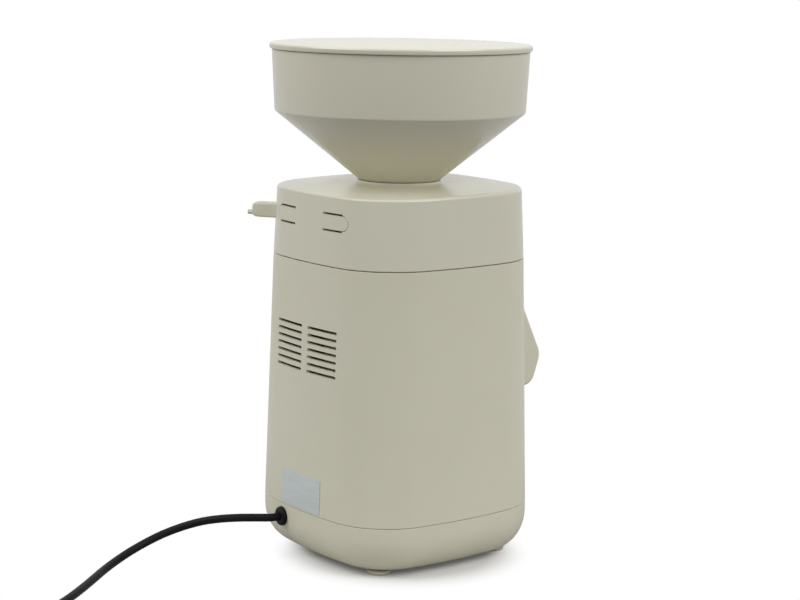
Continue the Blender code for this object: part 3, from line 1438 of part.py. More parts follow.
def flour_spout():
    """The hood on the front wall: an elbow that turns the flour down, fitted to the curved wall."""
    wall_top = side_y(SPOUT_SLOPE_TOP, 0)
    slope = (SPOUT_SLOPE_TOP - SPOUT_TIP_LEVEL) / (SPOUT_REACH - wall_top)
    low, _ = chute_window()
    start = side_y(SPOUT_SLOPE_TOP, SPOUT_WIDTH / 2) - CASE_WALL / 2
    outlet_back = side_y(SPOUT_OUTLET_LEVEL, 0) + SEAT_GAP
    roof = SPOUT_WALL * math.hypot(1, slope)
    stations = [
        ((start, SPOUT_SLOPE_TOP + slope * (wall_top - start)), (start, low - SPOUT_WALL), roof),
        ((SPOUT_REACH - SPOUT_NOSE * 0.7, SPOUT_TIP_LEVEL + SPOUT_NOSE * 0.7 * slope),
         (outlet_back, low - SPOUT_WALL * 2.2)),
        ((SPOUT_REACH, SPOUT_TIP_LEVEL - SPOUT_NOSE), (outlet_back, low - SPOUT_WALL * 3.2)),
        ((outlet_back + SPOUT_OUTLET_DEPTH + SPOUT_NOSE, SPOUT_OUTLET_LEVEL + SPOUT_NOSE),
         (outlet_back, SPOUT_OUTLET_LEVEL + SPOUT_NOSE)),
        ((outlet_back + SPOUT_OUTLET_DEPTH, SPOUT_OUTLET_LEVEL), (outlet_back, SPOUT_OUTLET_LEVEL)),
    ]
    spout = to_object("flour_spout", duct(stations, SPOUT_WIDTH / 2, SPOUT_CORNER, SPOUT_WALL))
    levels = (TOP_SEAM, SPOUT_OUTLET_LEVEL * 0.8)
    body = loft([case_ring(level, -SEAT_GAP) for level in levels])
    combine(spout, cutter("spout_trim", body))
    finish(spout, CREAM)


# Power switch

def switch_place():
    """The switch stands square to the tapered left wall."""
    taper = math.atan2(HALF_WIDTH_BASE - HALF_WIDTH_SEAM, TOP_SEAM - BASE_SEAM)
    return (-side_y(SWITCH_LEVEL, 0), 0, SWITCH_LEVEL), (taper, 0, QUARTER)


def power_switch():
    """A rocker switch: its body is a box with a bezel and a well, its rocker tips about a pin."""
    bezel = SWITCH_BEZEL
    border = SWITCH_BORDER
    width = SWITCH_WIDTH
    height = SWITCH_HEIGHT
    at, turn = switch_place()
    bm = bmesh.new()
    add_box(bm, (width, SWITCH_DEPTH, height), (0, bezel - SWITCH_DEPTH / 2, 0))
    body = to_object("switch_body", bm)
    plate = bmesh.new()
    size = (width + 2 * border, bezel, height + 2 * border)
    add_box(plate, size, (0, SEAT_GAP + bezel / 2, 0))
    combine(body, cutter("switch_bezel", plate, at, turn), "UNION")
    well = bmesh.new()
    size = (width - 2 * border, SWITCH_DEPTH, height - 2 * border)
    add_box(well, size, (0, bezel + SEAT_GAP * 2, 0))
    combine(body, cutter("switch_well", well, at, turn))
    finish(body, (0.06, 0.06, 0.065), 0.4, at=at, turn=turn)

    half = height / 2 - border - RUNNING_GAP
    tilt = math.radians(ROCKER_TILT)
    pivot = bezel - ROCKER_PIVOT
    face = ROCKER_FACE
    rise = half * math.tan(tilt)
    points = [
        (-half, face + rise), (0, face - RUNNING_GAP), (half, face + rise),
        (half * 0.5, -ROCKER_DEPTH), (-half * 0.5, -ROCKER_DEPTH),
    ]
    rings = []
    for x in (width / 2 - border - RUNNING_GAP, -(width / 2 - border - RUNNING_GAP)):
        rings.append([Vector((x, y, z)) for z, y in points])
    rocker_mesh = loft(rings)
    bmesh.ops.recalc_face_normals(rocker_mesh, faces=rocker_mesh.faces)
    rocker = to_object("switch_rocker", rocker_mesh)
    place = Matrix.Translation(at) @ Matrix.Rotation(turn[2], 4, "Z") @ Matrix.Rotation(turn[0], 4, "X")
    centre = place @ Vector((0, pivot, 0))
    finish(rocker, (0.05, 0.05, 0.055), 0.3, at=centre, turn=(turn[0] - tilt, 0, turn[2]))


# Mains cord

def gland_neck():
    return CORD_RADIUS + 0.0016


def gland_place():
    """On the back wall, square to its curve."""
    turn = (QUARTER, 0, math.asin(GLAND_X / SIDE_RADIUS))
    return (GLAND_X, -side_y(GLAND_LEVEL, GLAND_X), GLAND_LEVEL), turn


def cord_gland():
    """A rubber bush clipped in the wall: outer flange, neck in the hole, inner flange."""
    bore = CORD_RADIUS + FIT_GAP
    neck = gland_neck()
    lift = SEAT_GAP
    profile = [
        (bore, lift + GLAND_FLANGE),
        (GLAND_RADIUS - 0.0016, lift + GLAND_FLANGE),
        (GLAND_RADIUS - 0.0004, lift + GLAND_FLANGE - 0.0008),
        (GLAND_RADIUS, lift + GLAND_FLANGE - 0.0018),
        (GLAND_RADIUS, lift),
        (neck, lift),
        (neck, -CASE_WALL - 2 * lift),
        (neck + GLAND_BARB, -CASE_WALL - 2 * lift),
        (neck, -CASE_WALL - 0.003),
        (bore, -CASE_WALL - 0.003),
    ]
    at, turn = gland_place()
    finish(turned("cord_gland", profile, 14), (0.03, 0.03, 0.03), 0.55, at=at, turn=turn)


def smooth(points, parts=2):
    """Points on the smooth curve through the route's own points."""
    ends = [points[0] * 2 - points[1]] + points + [points[-1] * 2 - points[-2]]
    curve = []
    for index in range(1, len(ends) - 2):
        before, start, end, after = ends[index - 1:index + 3]
        for step in range(parts):
            t = step / parts
            bend = (before * 2 - start * 5 + end * 4 - after) * t * t
            twist = (start * 3 - before - end * 3 + after) * t * t * t
            curve.append((start * 2 + (end - before) * t + bend + twist) / 2)
    curve.append(points[-1])
    return curve


def power_cord():
    route = smooth([Vector(point) for point in CORD_ROUTE])
    data = bpy.data.curves.new("power_cord", "CURVE")
    data.dimensions = "3D"
    data.bevel_depth = CORD_RADIUS
    data.bevel_resolution = 2
    data.use_fill_caps = True
    spline = data.splines.new("POLY")
    spline.points.add(len(route) - 1)
    for point, place in zip(spline.points, route):
        point.co = (*place, 1)
    finish(bpy.data.objects.new("power_cord", data), (0.02, 0.02, 0.022), 0.45)


def coil_outer():
    return COIL_MEAN_RADIUS + COIL_TURNS_WIDE * CORD_RADIUS


def cord_coil():
    """The stored length as one ring that its turns fill."""
    inner = COIL_MEAN_RADIUS - COIL_TURNS_WIDE * CORD_RADIUS
    outer = coil_outer()
    height = COIL_LAYERS * 2 * CORD_RADIUS
    edge = CORD_RADIUS * 0.6
    profile = [
        (inner, height), (outer - edge, height), (outer, height - edge), (outer, edge),
        (outer - edge, 0), (inner, 0),
    ]
    finish(turned("cord_coil", profile, 28), (0.02, 0.02, 0.022), 0.45, at=(*COIL_CENTRE, 0))


def plug():
    """A flat two-pin plug lying beside the coil, with a ribbed relief towards the cord."""
    flat = PLUG_THICKNESS / 2
    sections = [
        (0.0, CORD_RADIUS + PLUG_SLEEVE, CORD_RADIUS + PLUG_SLEEVE, 0.0024),
        (PLUG_RELIEF, CORD_RADIUS + 2 * PLUG_SLEEVE, CORD_RADIUS + 2 * PLUG_SLEEVE, 0.0030),
        (PLUG_RELIEF + 0.003, PLUG_WIDTH * 0.22, flat * 0.9, 0.004),
        (PLUG_RELIEF + PLUG_BODY * 0.45, PLUG_WIDTH / 2, flat, 0.005),
        (PLUG_RELIEF + PLUG_BODY * 0.8, PLUG_WIDTH / 2, flat, 0.005),
        (PLUG_RELIEF + PLUG_BODY, PLUG_WIDTH * 0.42, flat, 0.005),
    ]
    rings = [section((x, 0, flat), (0, 1, 0), (0, 0, 1), *sizes) for x, *sizes in sections]
    bm = loft(rings)
    bmesh.ops.recalc_face_normals(bm, faces=bm.faces)
    body = to_object("plug", bm)
    pins = bmesh.new()
    end = PLUG_RELIEF + PLUG_BODY
    for side in (-1, 1):
        add_rod(pins, PLUG_PIN_RADIUS, -flat, PLUG_PIN_LENGTH, flat, side * PLUG_PIN_SPACING / 2, 8)
    place = Matrix.Translation((end, 0, 2 * flat)) @ Matrix.Rotation(QUARTER, 4, "Y")
    bmesh.ops.transform(pins, matrix=place, verts=pins.verts)
    turn = (0, 0, math.radians(PLUG_ANGLE))
    at = plug_place()
    combine(body, cutter("plug_pins", pins, at, turn), "UNION")
    finish(body, (0.02, 0.02, 0.022), 0.45, at=at, turn=turn)


def plug_place():
    """On the tangent of the outer turn, its relief's near corner touching the coil's outer side."""
    turn = math.radians(PLUG_ANGLE)
    lane = coil_outer() - CORD_RADIUS
    corner = lane - CORD_RADIUS - PLUG_SLEEVE
    along = math.sqrt((coil_outer() + SEAT_GAP) ** 2 - corner ** 2)
    x = COIL_CENTRE[0] + lane * math.sin(turn) + along * math.cos(turn)
    y = COIL_CENTRE[1] - lane * math.cos(turn) + along * math.sin(turn)
    return (x, y, 0)


def build_all():
    bottom_cover()
    feet()
    case_screws()
    main_housing()
    upper_housing()
    release_tab("release_tab_left", -1)
    release_tab("release_tab_right", 1)
    shield("lower_motor_shield", LOWER_SHIELD, True)
    shield("upper_motor_shield", UPPER_SHIELD_TOP, False)
    stator()
    motor_bolts()
    bearing("lower_bearing", LOWER_SHIELD)
    bearing("upper_bearing", UPPER_SHIELD_TOP - BEARING_WIDTH + SEAT_GAP)
    motor_shaft()
    rotor_core()
    cooling_fan()
    motor_plate()
    capacitor()
    terminal_block()
    grinding_chamber()
    chamber_seals()
    stone_carrier()
    flour_sweeper()
    carrier_nut()
    millstones()
    stone_holder()
    bearing_plate()
    adjusting_ring()
    adjusting_lever()
    hopper()
    lid()
    flour_chute()
    flour_spout()
    power_switch()
    cord_gland()
    power_cord()
    cord_coil()
    plug()


build_all()
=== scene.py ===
import json
import math

import bmesh
import bpy
from mathutils import Matrix, Vector

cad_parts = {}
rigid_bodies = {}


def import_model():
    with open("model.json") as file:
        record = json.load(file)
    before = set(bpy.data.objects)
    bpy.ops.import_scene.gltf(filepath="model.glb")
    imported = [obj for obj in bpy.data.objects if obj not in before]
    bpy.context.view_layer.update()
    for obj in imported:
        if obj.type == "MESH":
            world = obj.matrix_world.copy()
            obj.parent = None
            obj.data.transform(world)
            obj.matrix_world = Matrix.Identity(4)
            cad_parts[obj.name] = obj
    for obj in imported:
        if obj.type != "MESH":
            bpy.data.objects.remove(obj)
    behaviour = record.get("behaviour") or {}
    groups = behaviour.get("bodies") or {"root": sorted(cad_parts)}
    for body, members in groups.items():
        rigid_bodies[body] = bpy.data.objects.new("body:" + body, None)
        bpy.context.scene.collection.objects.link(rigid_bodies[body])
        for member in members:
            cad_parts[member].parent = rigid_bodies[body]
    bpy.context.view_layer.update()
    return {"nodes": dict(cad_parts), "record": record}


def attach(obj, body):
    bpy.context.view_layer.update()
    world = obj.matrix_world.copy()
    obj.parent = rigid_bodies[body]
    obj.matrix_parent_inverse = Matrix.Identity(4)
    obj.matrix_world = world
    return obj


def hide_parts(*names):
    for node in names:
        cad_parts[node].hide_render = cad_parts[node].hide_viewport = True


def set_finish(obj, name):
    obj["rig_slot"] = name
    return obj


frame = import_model()
nodes = frame["nodes"]
scene = bpy.context.scene
quarter = math.pi / 2
axisY = -0.0104  # the motor shaft stands here, everything round is turned about it
tiny = 1e-5  # two places this near are the same
print("frame loaded:", len(nodes), "nodes")


# small helpers for the modelling below

def clearSelection():
    if bpy.context.mode != "OBJECT":
        bpy.ops.object.mode_set(mode="OBJECT")
    bpy.ops.object.select_all(action="DESELECT")


def activate(piece):
    clearSelection()
    piece.select_set(True)
    bpy.context.view_layer.objects.active = piece


def openMesh(piece):
    activate(piece)
    bpy.ops.object.mode_set(mode="EDIT")


def startMesh(name):
    # a new mesh, open for editing and still empty
    clearSelection()
    bpy.ops.mesh.primitive_plane_add(size=0.01)
    piece = bpy.context.object
    piece.name = name
    piece.data.name = name
    bpy.ops.object.mode_set(mode="EDIT")
    bpy.ops.mesh.select_all(action="SELECT")
    bpy.ops.mesh.delete(type="VERT")
    return piece


def pick(kind, test):
    # selects vertices, edges or faces of the open mesh by a test
    bpy.ops.mesh.select_mode(type=kind)
    bpy.ops.mesh.select_all(action="DESELECT")
    mesh = bpy.context.edit_object.data
    bm = bmesh.from_edit_mesh(mesh)
    for item in {"VERT": bm.verts, "EDGE": bm.edges, "FACE": bm.faces}[kind]:
        item.select_set(bool(test(item)))
    bm.select_flush_mode()
    bmesh.update_edit_mesh(mesh)


def pushTo(piece, place=(0, 0, 0), turn=(0, 0, 0)):
    # moves the mesh to its place and leaves the object at the origin
    activate(piece)
    piece.location = place
    piece.rotation_euler = turn
    bpy.ops.object.transform_apply(location=True, rotation=True, scale=True)


def modify(piece, kind, **values):
    # one modifier, set and applied at once
    activate(piece)
    step = piece.modifiers.new(kind.lower(), kind)
    for key, value in values.items():
        setattr(step, key, value)
    bpy.ops.object.modifier_apply(modifier=step.name)


def bevelEdges(piece, width, segments, angle):
    modify(piece, "BEVEL", width=width, segments=segments, limit_method="ANGLE",
           angle_limit=math.radians(angle), use_clamp_overlap=True)


def cutWith(piece, tool, operation="DIFFERENCE"):
    modify(piece, "BOOLEAN", operation=operation, solver="EXACT", object=tool)
    bpy.data.objects.remove(tool, do_unlink=True)


def smoothFaces(piece, angle, weighted=False):
    activate(piece)
    bpy.ops.object.shade_smooth_by_angle(angle=math.radians(angle))
    if weighted:
        modify(piece, "WEIGHTED_NORMAL", keep_sharp=True, weight=90)


def outward(piece):
    openMesh(piece)
    bpy.ops.mesh.select_all(action="SELECT")
    bpy.ops.mesh.remove_doubles(threshold=0.000001)
    bpy.ops.mesh.normals_make_consistent(inside=False)
    bpy.ops.object.mode_set(mode="OBJECT")


def box(name, low, high):
    clearSelection()
    low, high = Vector(low), Vector(high)
    bpy.ops.mesh.primitive_cube_add(size=1, location=(low + high) / 2)
    piece = bpy.context.object
    piece.name = name
    piece.scale = high - low
    bpy.ops.object.transform_apply(location=True, rotation=True, scale=True)
    return piece


def circleStack(name, profile, steps):
    # a circle extruded and resized from point to point of its profile, left open for editing
    piece = startMesh(name)
    radius, level = profile[0]
    bpy.ops.mesh.primitive_circle_add(vertices=steps, radius=radius, location=(0, 0, level))
    for nextRadius, nextLevel in profile[1:]:
        move = {"value": (0, 0, nextLevel - level)}
        bpy.ops.mesh.extrude_edges_move(TRANSFORM_OT_translate=move)
        grow = nextRadius / radius
        bpy.ops.transform.resize(value=(grow, grow, 1), center_override=(0, 0, nextLevel))
        radius, level = nextRadius, nextLevel
    return piece


def turnedPiece(name, profile, steps):
    # the first and last circle are bridged, so the profile closes on itself
    piece = circleStack(name, profile, steps)
    pick("EDGE", lambda edge: edge.is_boundary)
    bpy.ops.mesh.bridge_edge_loops()
    outward(piece)
    return piece


def cappedPiece(name, profile, steps):
    # the first and last circle each get a flat face
    piece = circleStack(name, profile, steps)
    for end in (profile[0][1], profile[-1][1]):
        pick("EDGE", lambda edge: edge.is_boundary and abs(edge.verts[0].co.z - end) < tiny)
        bpy.ops.mesh.edge_face_add()
    outward(piece)
    return piece


def splitAt(place, normal):
    bpy.ops.mesh.select_all(action="SELECT")
    bpy.ops.mesh.bisect(plane_co=place, plane_no=normal)


# the case's plan: four bulged sides and four round corners

casePlan = {
    "sideRadius": 0.295, "cornerRadius": 0.0464, "sideSteps": 14, "cornerSteps": 14, "wall": 0.0025,
    "halfBase": 0.0814, "halfSeam": 0.0771, "halfTop": 0.0752,
    "baseSeam": 0.0365, "topSeam": 0.2090, "shoulder": 0.2550,
    "lipInset": 0.0028, "lipWall": 0.0012, "lipStart": 0.0045, "lipSlope": 0.0033,
    "screwSpread": 0.0495, "towerRadius": 0.0055, "boreRadius": 0.0020,
}


def halfWidth(level):
    low, middle, high = casePlan["baseSeam"], casePlan["topSeam"], casePlan["shoulder"]
    if level <= low:
        return casePlan["halfBase"]
    if level <= middle:
        share = (level - low) / (middle - low)
        return casePlan["halfBase"] + share * (casePlan["halfSeam"] - casePlan["halfBase"])
    share = min(1, (level - middle) / (high - middle))
    return casePlan["halfSeam"] + share * (casePlan["halfTop"] - casePlan["halfSeam"])


def sideY(level, x, inset=0):
    reach = casePlan["sideRadius"] - inset
    return halfWidth(level) - casePlan["sideRadius"] + math.sqrt(reach * reach - x * x)


def caseArcs(half, inset):
    # start point of the outline, then centre, turn and steps of each of its eight arcs
    side, corner = casePlan["sideRadius"], casePlan["cornerRadius"]
    offset = side - half
    centre = (math.sqrt(2 * (side - corner) ** 2 - offset * offset) - offset) / 2
    spread = math.atan2(centre, centre + offset)
    reach = side - inset
    start = Vector((half - side + reach * math.cos(spread), -reach * math.sin(spread), 0))
    arcs = []
    for number in range(4):
        turn = Matrix.Rotation(number * quarter, 3, "Z")
        arcs.append((turn @ Vector((-offset, 0, 0)), 2 * spread, casePlan["sideSteps"]))
        arcs.append((turn @ Vector((centre, centre, 0)), quarter - 2 * spread, casePlan["cornerSteps"]))
    return start, arcs


def roundArcs(half, radius):
    # a circle in the same eight steps, so that it bridges evenly with a case outline
    start, arcs = caseArcs(half, 0)
    spread = -math.atan2(start.y, start.x)
    place = Vector((radius * math.cos(spread), -radius * math.sin(spread), 0))
    turns = [2 * spread if number % 2 == 0 else quarter - 2 * spread for number in range(8)]
    return place, [(Vector(), turn, steps) for turn, (_, _, steps) in zip(turns, arcs)]


def addRing(number, level, arcs, tilt=0):
    start, bends = arcs
    bpy.ops.mesh.select_all(action="DESELECT")
    bpy.ops.mesh.primitive_plane_add(size=0.0001, location=(start.x, start.y, level))
    bpy.ops.mesh.merge(type="CENTER")
    for centre, turn, steps in bends:
        bpy.ops.mesh.spin(steps=steps, angle=-turn, center=(centre.x, centre.y, level), axis=(0, 0, 1))
    mesh = bpy.context.edit_object.data
    bm = bmesh.from_edit_mesh(mesh)
    mark = bm.verts.layers.int.get("ring") or bm.verts.layers.int.new("ring")
    fresh = [vert for vert in bm.verts if vert[mark] == 0]
    for vert in fresh:
        vert[mark] = number
        vert.select_set(True)
    bm.select_flush_mode()
    bmesh.update_edit_mesh(mesh)
    bpy.ops.mesh.remove_doubles(threshold=0.00001)
    if tilt:
        bpy.ops.transform.rotate(value=-tilt, orient_axis="X", center_override=(0, 0, level))


def ringShell(name, rings, closed=True):
    # rings is a list of (level, arcs) or (level, arcs, tilt), bridged in turn
    piece = startMesh(name)
    bpy.ops.mesh.select_mode(type="VERT")
    nudge = 0.00005  # two rings at just the same level would bridge the wrong way round
    for number, (level, *shape) in enumerate(rings, 1):
        addRing(number, level + nudge * (number % 2), *shape)

    def pickRings(*chosen):
        bm = bmesh.from_edit_mesh(piece.data)
        mark = bm.verts.layers.int["ring"]

        def within(edge):
            first, second = edge.verts[0][mark], edge.verts[1][mark]
            return first == second and first in chosen

        pick("EDGE", within)

    for number in range(1, len(rings)):
        pickRings(number, number + 1)
        bpy.ops.mesh.bridge_edge_loops()
    if closed:
        pickRings(len(rings), 1)
        bpy.ops.mesh.bridge_edge_loops()
    else:
        for number in (1, len(rings)):
            pickRings(number)
            bpy.ops.mesh.edge_face_add()
    outward(piece)
    return piece


def caseRing(level, inset=0):
    return level, caseArcs(halfWidth(level), inset)


def roundedEdge(level, edge, way):
    # three rings round an outer edge off, from its flat end to the wall
    part = edge * 0.3
    return [caseRing(level, edge), caseRing(level + way * part, part), caseRing(level + way * edge)]


def lipRings(seam, top):
    # the lip that stands up inside the next piece of the case, from the wall to its outer face
    lip, inner = casePlan["lipInset"], casePlan["lipInset"] + casePlan["lipWall"]
    return [
        caseRing(seam - casePlan["lipStart"], casePlan["wall"]),
        caseRing(seam - casePlan["lipSlope"], inner), caseRing(top, inner), caseRing(top, lip),
    ]


def screwSpots():
    # over the four feet, where the long case screws stand
    spread = casePlan["screwSpread"]
    return [(x * spread, y * spread) for x in (-1, 1) for y in (-1, 1)]


def settle(piece, body, finish, *stands):
    # from the shaft's frame to the object's, then onto its body
    pushTo(piece, (0, axisY, 0))
    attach(piece, body)
    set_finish(piece, finish)
    if stands:
        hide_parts(*stands)
    return piece


def joinAll(name, parts):
    clearSelection()
    for part in parts:
        part.select_set(True)
    bpy.context.view_layer.objects.active = parts[0]
    if len(parts) > 1:
        bpy.ops.object.join()
    parts[0].name = name
    return parts[0]


def rods(name, places, radius, low, high, steps=32):
    return joinAll(name, [
        movedTo(cappedPiece(name, [(radius, low), (radius, high)], steps), (x, y, 0)) for x, y in places
    ])


def movedTo(piece, place, turn=(0, 0, 0)):
    pushTo(piece, place, turn)
    return piece


def roundedBox(name, low, high, width, along="Y", segments=6, test=None):
    # a box whose edges along one axis are rounded
    piece = box(name, low, high)
    axis = "XYZ".index(along)
    openMesh(piece)

    def chosen(edge):
        first, second = edge.verts[0].co, edge.verts[1].co
        straight = all(abs(first[k] - second[k]) < 1e-6 for k in range(3) if k != axis)
        return straight and (test is None or test(first))

    pick("EDGE", chosen)
    bpy.ops.mesh.bevel(offset=width, segments=segments, profile=0.5)
    bpy.ops.object.mode_set(mode="OBJECT")
    return piece


def sectionPiece(name, sections):
    # a rectangle carried along X through its sections: x, half width, half height, centre level
    piece = startMesh(name)
    x, wide, high, level = sections[0]
    bpy.ops.mesh.primitive_plane_add(size=2, location=(x, 0, level), rotation=(0, -quarter, 0))
    bpy.ops.transform.resize(value=(1, wide, high), center_override=(x, 0, level))
    for nextX, nextWide, nextHigh, nextLevel in sections[1:]:
        move = {"value": (nextX - x, 0, nextLevel - level)}
        bpy.ops.mesh.extrude_region_move(TRANSFORM_OT_translate=move)
        grow = (1, nextWide / wide, nextHigh / high)
        bpy.ops.transform.resize(value=grow, center_override=(nextX, 0, nextLevel))
        x, wide, high, level = nextX, nextWide, nextHigh, nextLevel
    outward(piece)
    return piece


# camera, at the photograph's viewing angle

cameraView = {
    "place": (1.0967, -0.8363, 0.4123), "heading": (-0.798, 0.6026), "pitch": 9.76, "roll": 0.015,
    "lens": 89.6, "sensor": 36, "clipEnd": 30,
}


def makeCamera(view):
    clearSelection()
    bpy.ops.object.camera_add(location=view["place"])
    camera = bpy.context.object
    camera.name = "photoCamera"
    pitch = math.radians(view["pitch"])
    ahead = Vector((*view["heading"], 0)).normalized() * math.cos(pitch)
    ahead.z = -math.sin(pitch)
    right = ahead.cross(Vector((0, 0, 1))).normalized()
    right = (right + right.cross(ahead) * view["roll"]).normalized()
    up = right.cross(ahead)
    turned = Matrix((right, up, -ahead)).transposed().to_4x4()
    camera.matrix_world = Matrix.Translation(view["place"]) @ turned
    camera.data.sensor_width = view["sensor"]
    camera.data.lens = view["lens"]
    camera.data.clip_end = view["clipEnd"]
    scene.camera = camera


makeCamera(cameraView)
print("camera set")


# main housing

mainHousing = {
    "bottom": 0.0368, "top": 0.2087, "edge": 0.0005, "lipTop": 0.2132,
    "ledgeTop": 0.1240, "ledgeWidth": 0.0065, "ledgeLow": 0.1135, "ledgeMiddle": 0.1200,
    "towerBottom": 0.0413, "towerTop": 0.0637, "webReach": (0.0695, 0.0850), "webLevels": (0.0434, 0.0592),
    "catchX": 0.0368, "catchFace": 0.0699, "catchLevel": 0.1997, "catchRoot": 0.2,
    "catchHalf": (0.004, 0.002),
    "ventRows": 7, "ventPitch": 0.0050, "ventHeight": 0.0021, "ventInner": 0.0034, "ventOuter": 0.0345,
    "ventLevel": 0.150, "ventDepth": (-0.087, -0.066), "ventCorner": 0.0006,
    "windowLow": 0.1303, "windowHigh": 0.1590, "windowHalf": 0.0173, "windowDepth": (0.066, 0.090),
    "windowCorner": 0.0022, "switchLevel": 0.187, "openingHalf": (0.0108, 0.0143),
    "openingDepth": (-0.009, 0.008), "openingCorner": 0.001,
}


def makeMainHousing(facts):
    wall, edge, ledge = casePlan["wall"], facts["edge"], casePlan["wall"] + facts["ledgeWidth"]
    low, top = facts["bottom"], facts["top"]
    housing = ringShell("mainHousing", [
        caseRing(top, casePlan["lipInset"]), *roundedEdge(top, edge, -1),
        *reversed(roundedEdge(low, edge, 1)), caseRing(low, wall),
        caseRing(facts["ledgeLow"], wall), caseRing(facts["ledgeMiddle"], ledge),
        caseRing(facts["ledgeTop"], ledge), caseRing(facts["ledgeTop"], wall),
        *lipRings(top, facts["lipTop"]),
    ])
    webs = []
    (near, far), (webLow, webTop) = facts["webReach"], facts["webLevels"]
    for x, y in screwSpots():
        web = box("web", (near, -wall / 2, webLow), (far, wall / 2, webTop))
        webs.append(movedTo(web, (0, 0, 0), (0, 0, math.atan2(y, x))))
    cutWith(housing, joinAll("webs", webs), "UNION")
    towers = rods("towers", screwSpots(), casePlan["towerRadius"], facts["towerBottom"], facts["towerTop"])
    cutWith(housing, towers, "UNION")
    cutWith(housing, rods("bores", screwSpots(), casePlan["boreRadius"], low, webTop, 24))
    catches = []
    level, (wide, high) = facts["catchLevel"], facts["catchHalf"]
    for side in (-1, 1):
        x = side * facts["catchX"]
        outer, face = -sideY(facts["catchRoot"], x, wall / 2), -facts["catchFace"]
        catches.append(box("catch", (x - wide, outer, level - high), (x + wide, face, level + high)))
    cutWith(housing, joinAll("catches", catches), "UNION")

    slots = []
    half, middle = facts["ventHeight"] / 2, (facts["ventRows"] - 1) / 2
    near, far = facts["ventDepth"]
    for row in range(facts["ventRows"]):
        level = facts["ventLevel"] + (row - middle) * facts["ventPitch"]
        for side in (-1, 1):
            left, right = sorted((side * facts["ventInner"], side * facts["ventOuter"]))
            corners = (left, near, level - half), (right, far, level + half)
            slots.append(roundedBox("slot", *corners, facts["ventCorner"]))
    cutWith(housing, joinAll("slots", slots))
    half, (near, far) = facts["windowHalf"], facts["windowDepth"]
    corners = (-half, near, facts["windowLow"]), (half, far, facts["windowHigh"])
    cutWith(housing, roundedBox("window", *corners, facts["windowCorner"]))
    (wide, high), (near, far) = facts["openingHalf"], facts["openingDepth"]
    opening = roundedBox("opening", (-wide, near, -high), (wide, far, high), facts["openingCorner"])
    pushTo(opening, *switchPlace())
    cutWith(housing, opening)
    smoothFaces(housing, 30, weighted=True)
    return settle(housing, "base", "cream_shell", "main_housing")


def switchPlace():
    # square to the wall on the lever's side, which leans in a little
    inwards = casePlan["halfBase"] - casePlan["halfSeam"]
    lean = math.atan2(inwards, casePlan["topSeam"] - casePlan["baseSeam"])
    level = mainHousing["switchLevel"]
    return (-sideY(level, 0), 0, level), (lean, 0, quarter)


mainPiece = makeMainHousing(mainHousing)
print("main housing made", len(mainPiece.data.polygons))


# upper housing and its two release tabs

upperHousing = {
    "low": 0.2093, "rounding": 0.0030, "edge": 0.0005,
    "crownEdge": 0.2572, "crownRise": 0.0022, "crownTilt": 0.0011, "socket": 0.0263, "socketBottom": 0.2421,
    "collar": 0.0295, "collarTop": 0.2612, "collarLip": [(0.0006, 0), (0.00015, 0.0002), (0, 0.0006)],
    "collarFoot": [(0, 0.0005), (0.0004, 0.0001)],
    "leverLevel": 0.2351, "leverHalf": 0.0059, "leverFirst": 142.0, "leverLast": 218.0,
    "slotMiddle": 0.0850, "slotLength": 0.060,
}
tabs = {
    "root": 0.0162, "tip": 0.0408, "straightEnd": 0.0360, "level": 0.2388, "half": 0.0048, "top": 0.2525,
    "gap": 0.00045, "rootGap": 0.00006, "slot": 0.0014, "depth": (-0.0850, -0.0620),
    "armHalf": 0.00385, "armFace": 0.0693, "armDepth": 0.0026, "armBottom": 0.1934, "armDrop": 0.0003,
    "inset": 0.0002, "blockHalf": 0.0042, "hookBottom": 0.1938, "hookTop": 0.1970, "hookReach": 0.0003,
}


def makeUpperHousing(facts):
    wall, rounding, edge = casePlan["wall"], facts["rounding"], facts["edge"]
    shoulder, crown, half = casePlan["shoulder"], facts["crownEdge"], casePlan["halfTop"]
    tilt = math.atan2(facts["crownTilt"], half)
    top = crown + facts["crownRise"]
    rings = [(facts["collarTop"], roundArcs(half, facts["socket"]))]
    for inset, drop in facts["collarLip"]:
        rings.append((facts["collarTop"] - drop, roundArcs(half, facts["collar"] - inset)))
    for flare, rise in facts["collarFoot"]:
        rings.append((top + rise, roundArcs(half, facts["collar"] + flare)))
    rings.append((crown, caseArcs(half, rounding), tilt))
    for degrees in range(75, 0, -15):
        angle = math.radians(degrees)
        level = shoulder + (crown - shoulder) * math.sin(angle)
        rings.append((level, caseArcs(half, rounding * (1 - math.cos(angle))), tilt * math.sin(angle)))
    rings += [
        caseRing(shoulder), *reversed(roundedEdge(facts["low"], edge, 1)),
        caseRing(facts["low"], wall), caseRing(shoulder - wall, wall),
        (crown - wall, caseArcs(half, wall + rounding), tilt),
        (top - wall, roundArcs(half, facts["socket"] + wall)),
        (facts["socketBottom"], roundArcs(half, facts["socket"] + wall)),
        (facts["socketBottom"], roundArcs(half, facts["socket"])),
    ]
    housing = ringShell("upperHousing", rings)
    cutWith(housing, sweptSlot(facts))
    for side in (-1, 1):
        reach = tabs["half"] + tabs["gap"]
        cutWith(housing, tongue(side, tabs["root"], tabs["tip"] + tabs["gap"], reach, reach))
        cutWith(housing, tongue(side, tabs["root"], tabs["straightEnd"], tabs["half"] + tabs["slot"], 0))
    smoothFaces(housing, 30, weighted=True)
    return settle(housing, "upper_unit", "cream_gloss", "upper_housing")


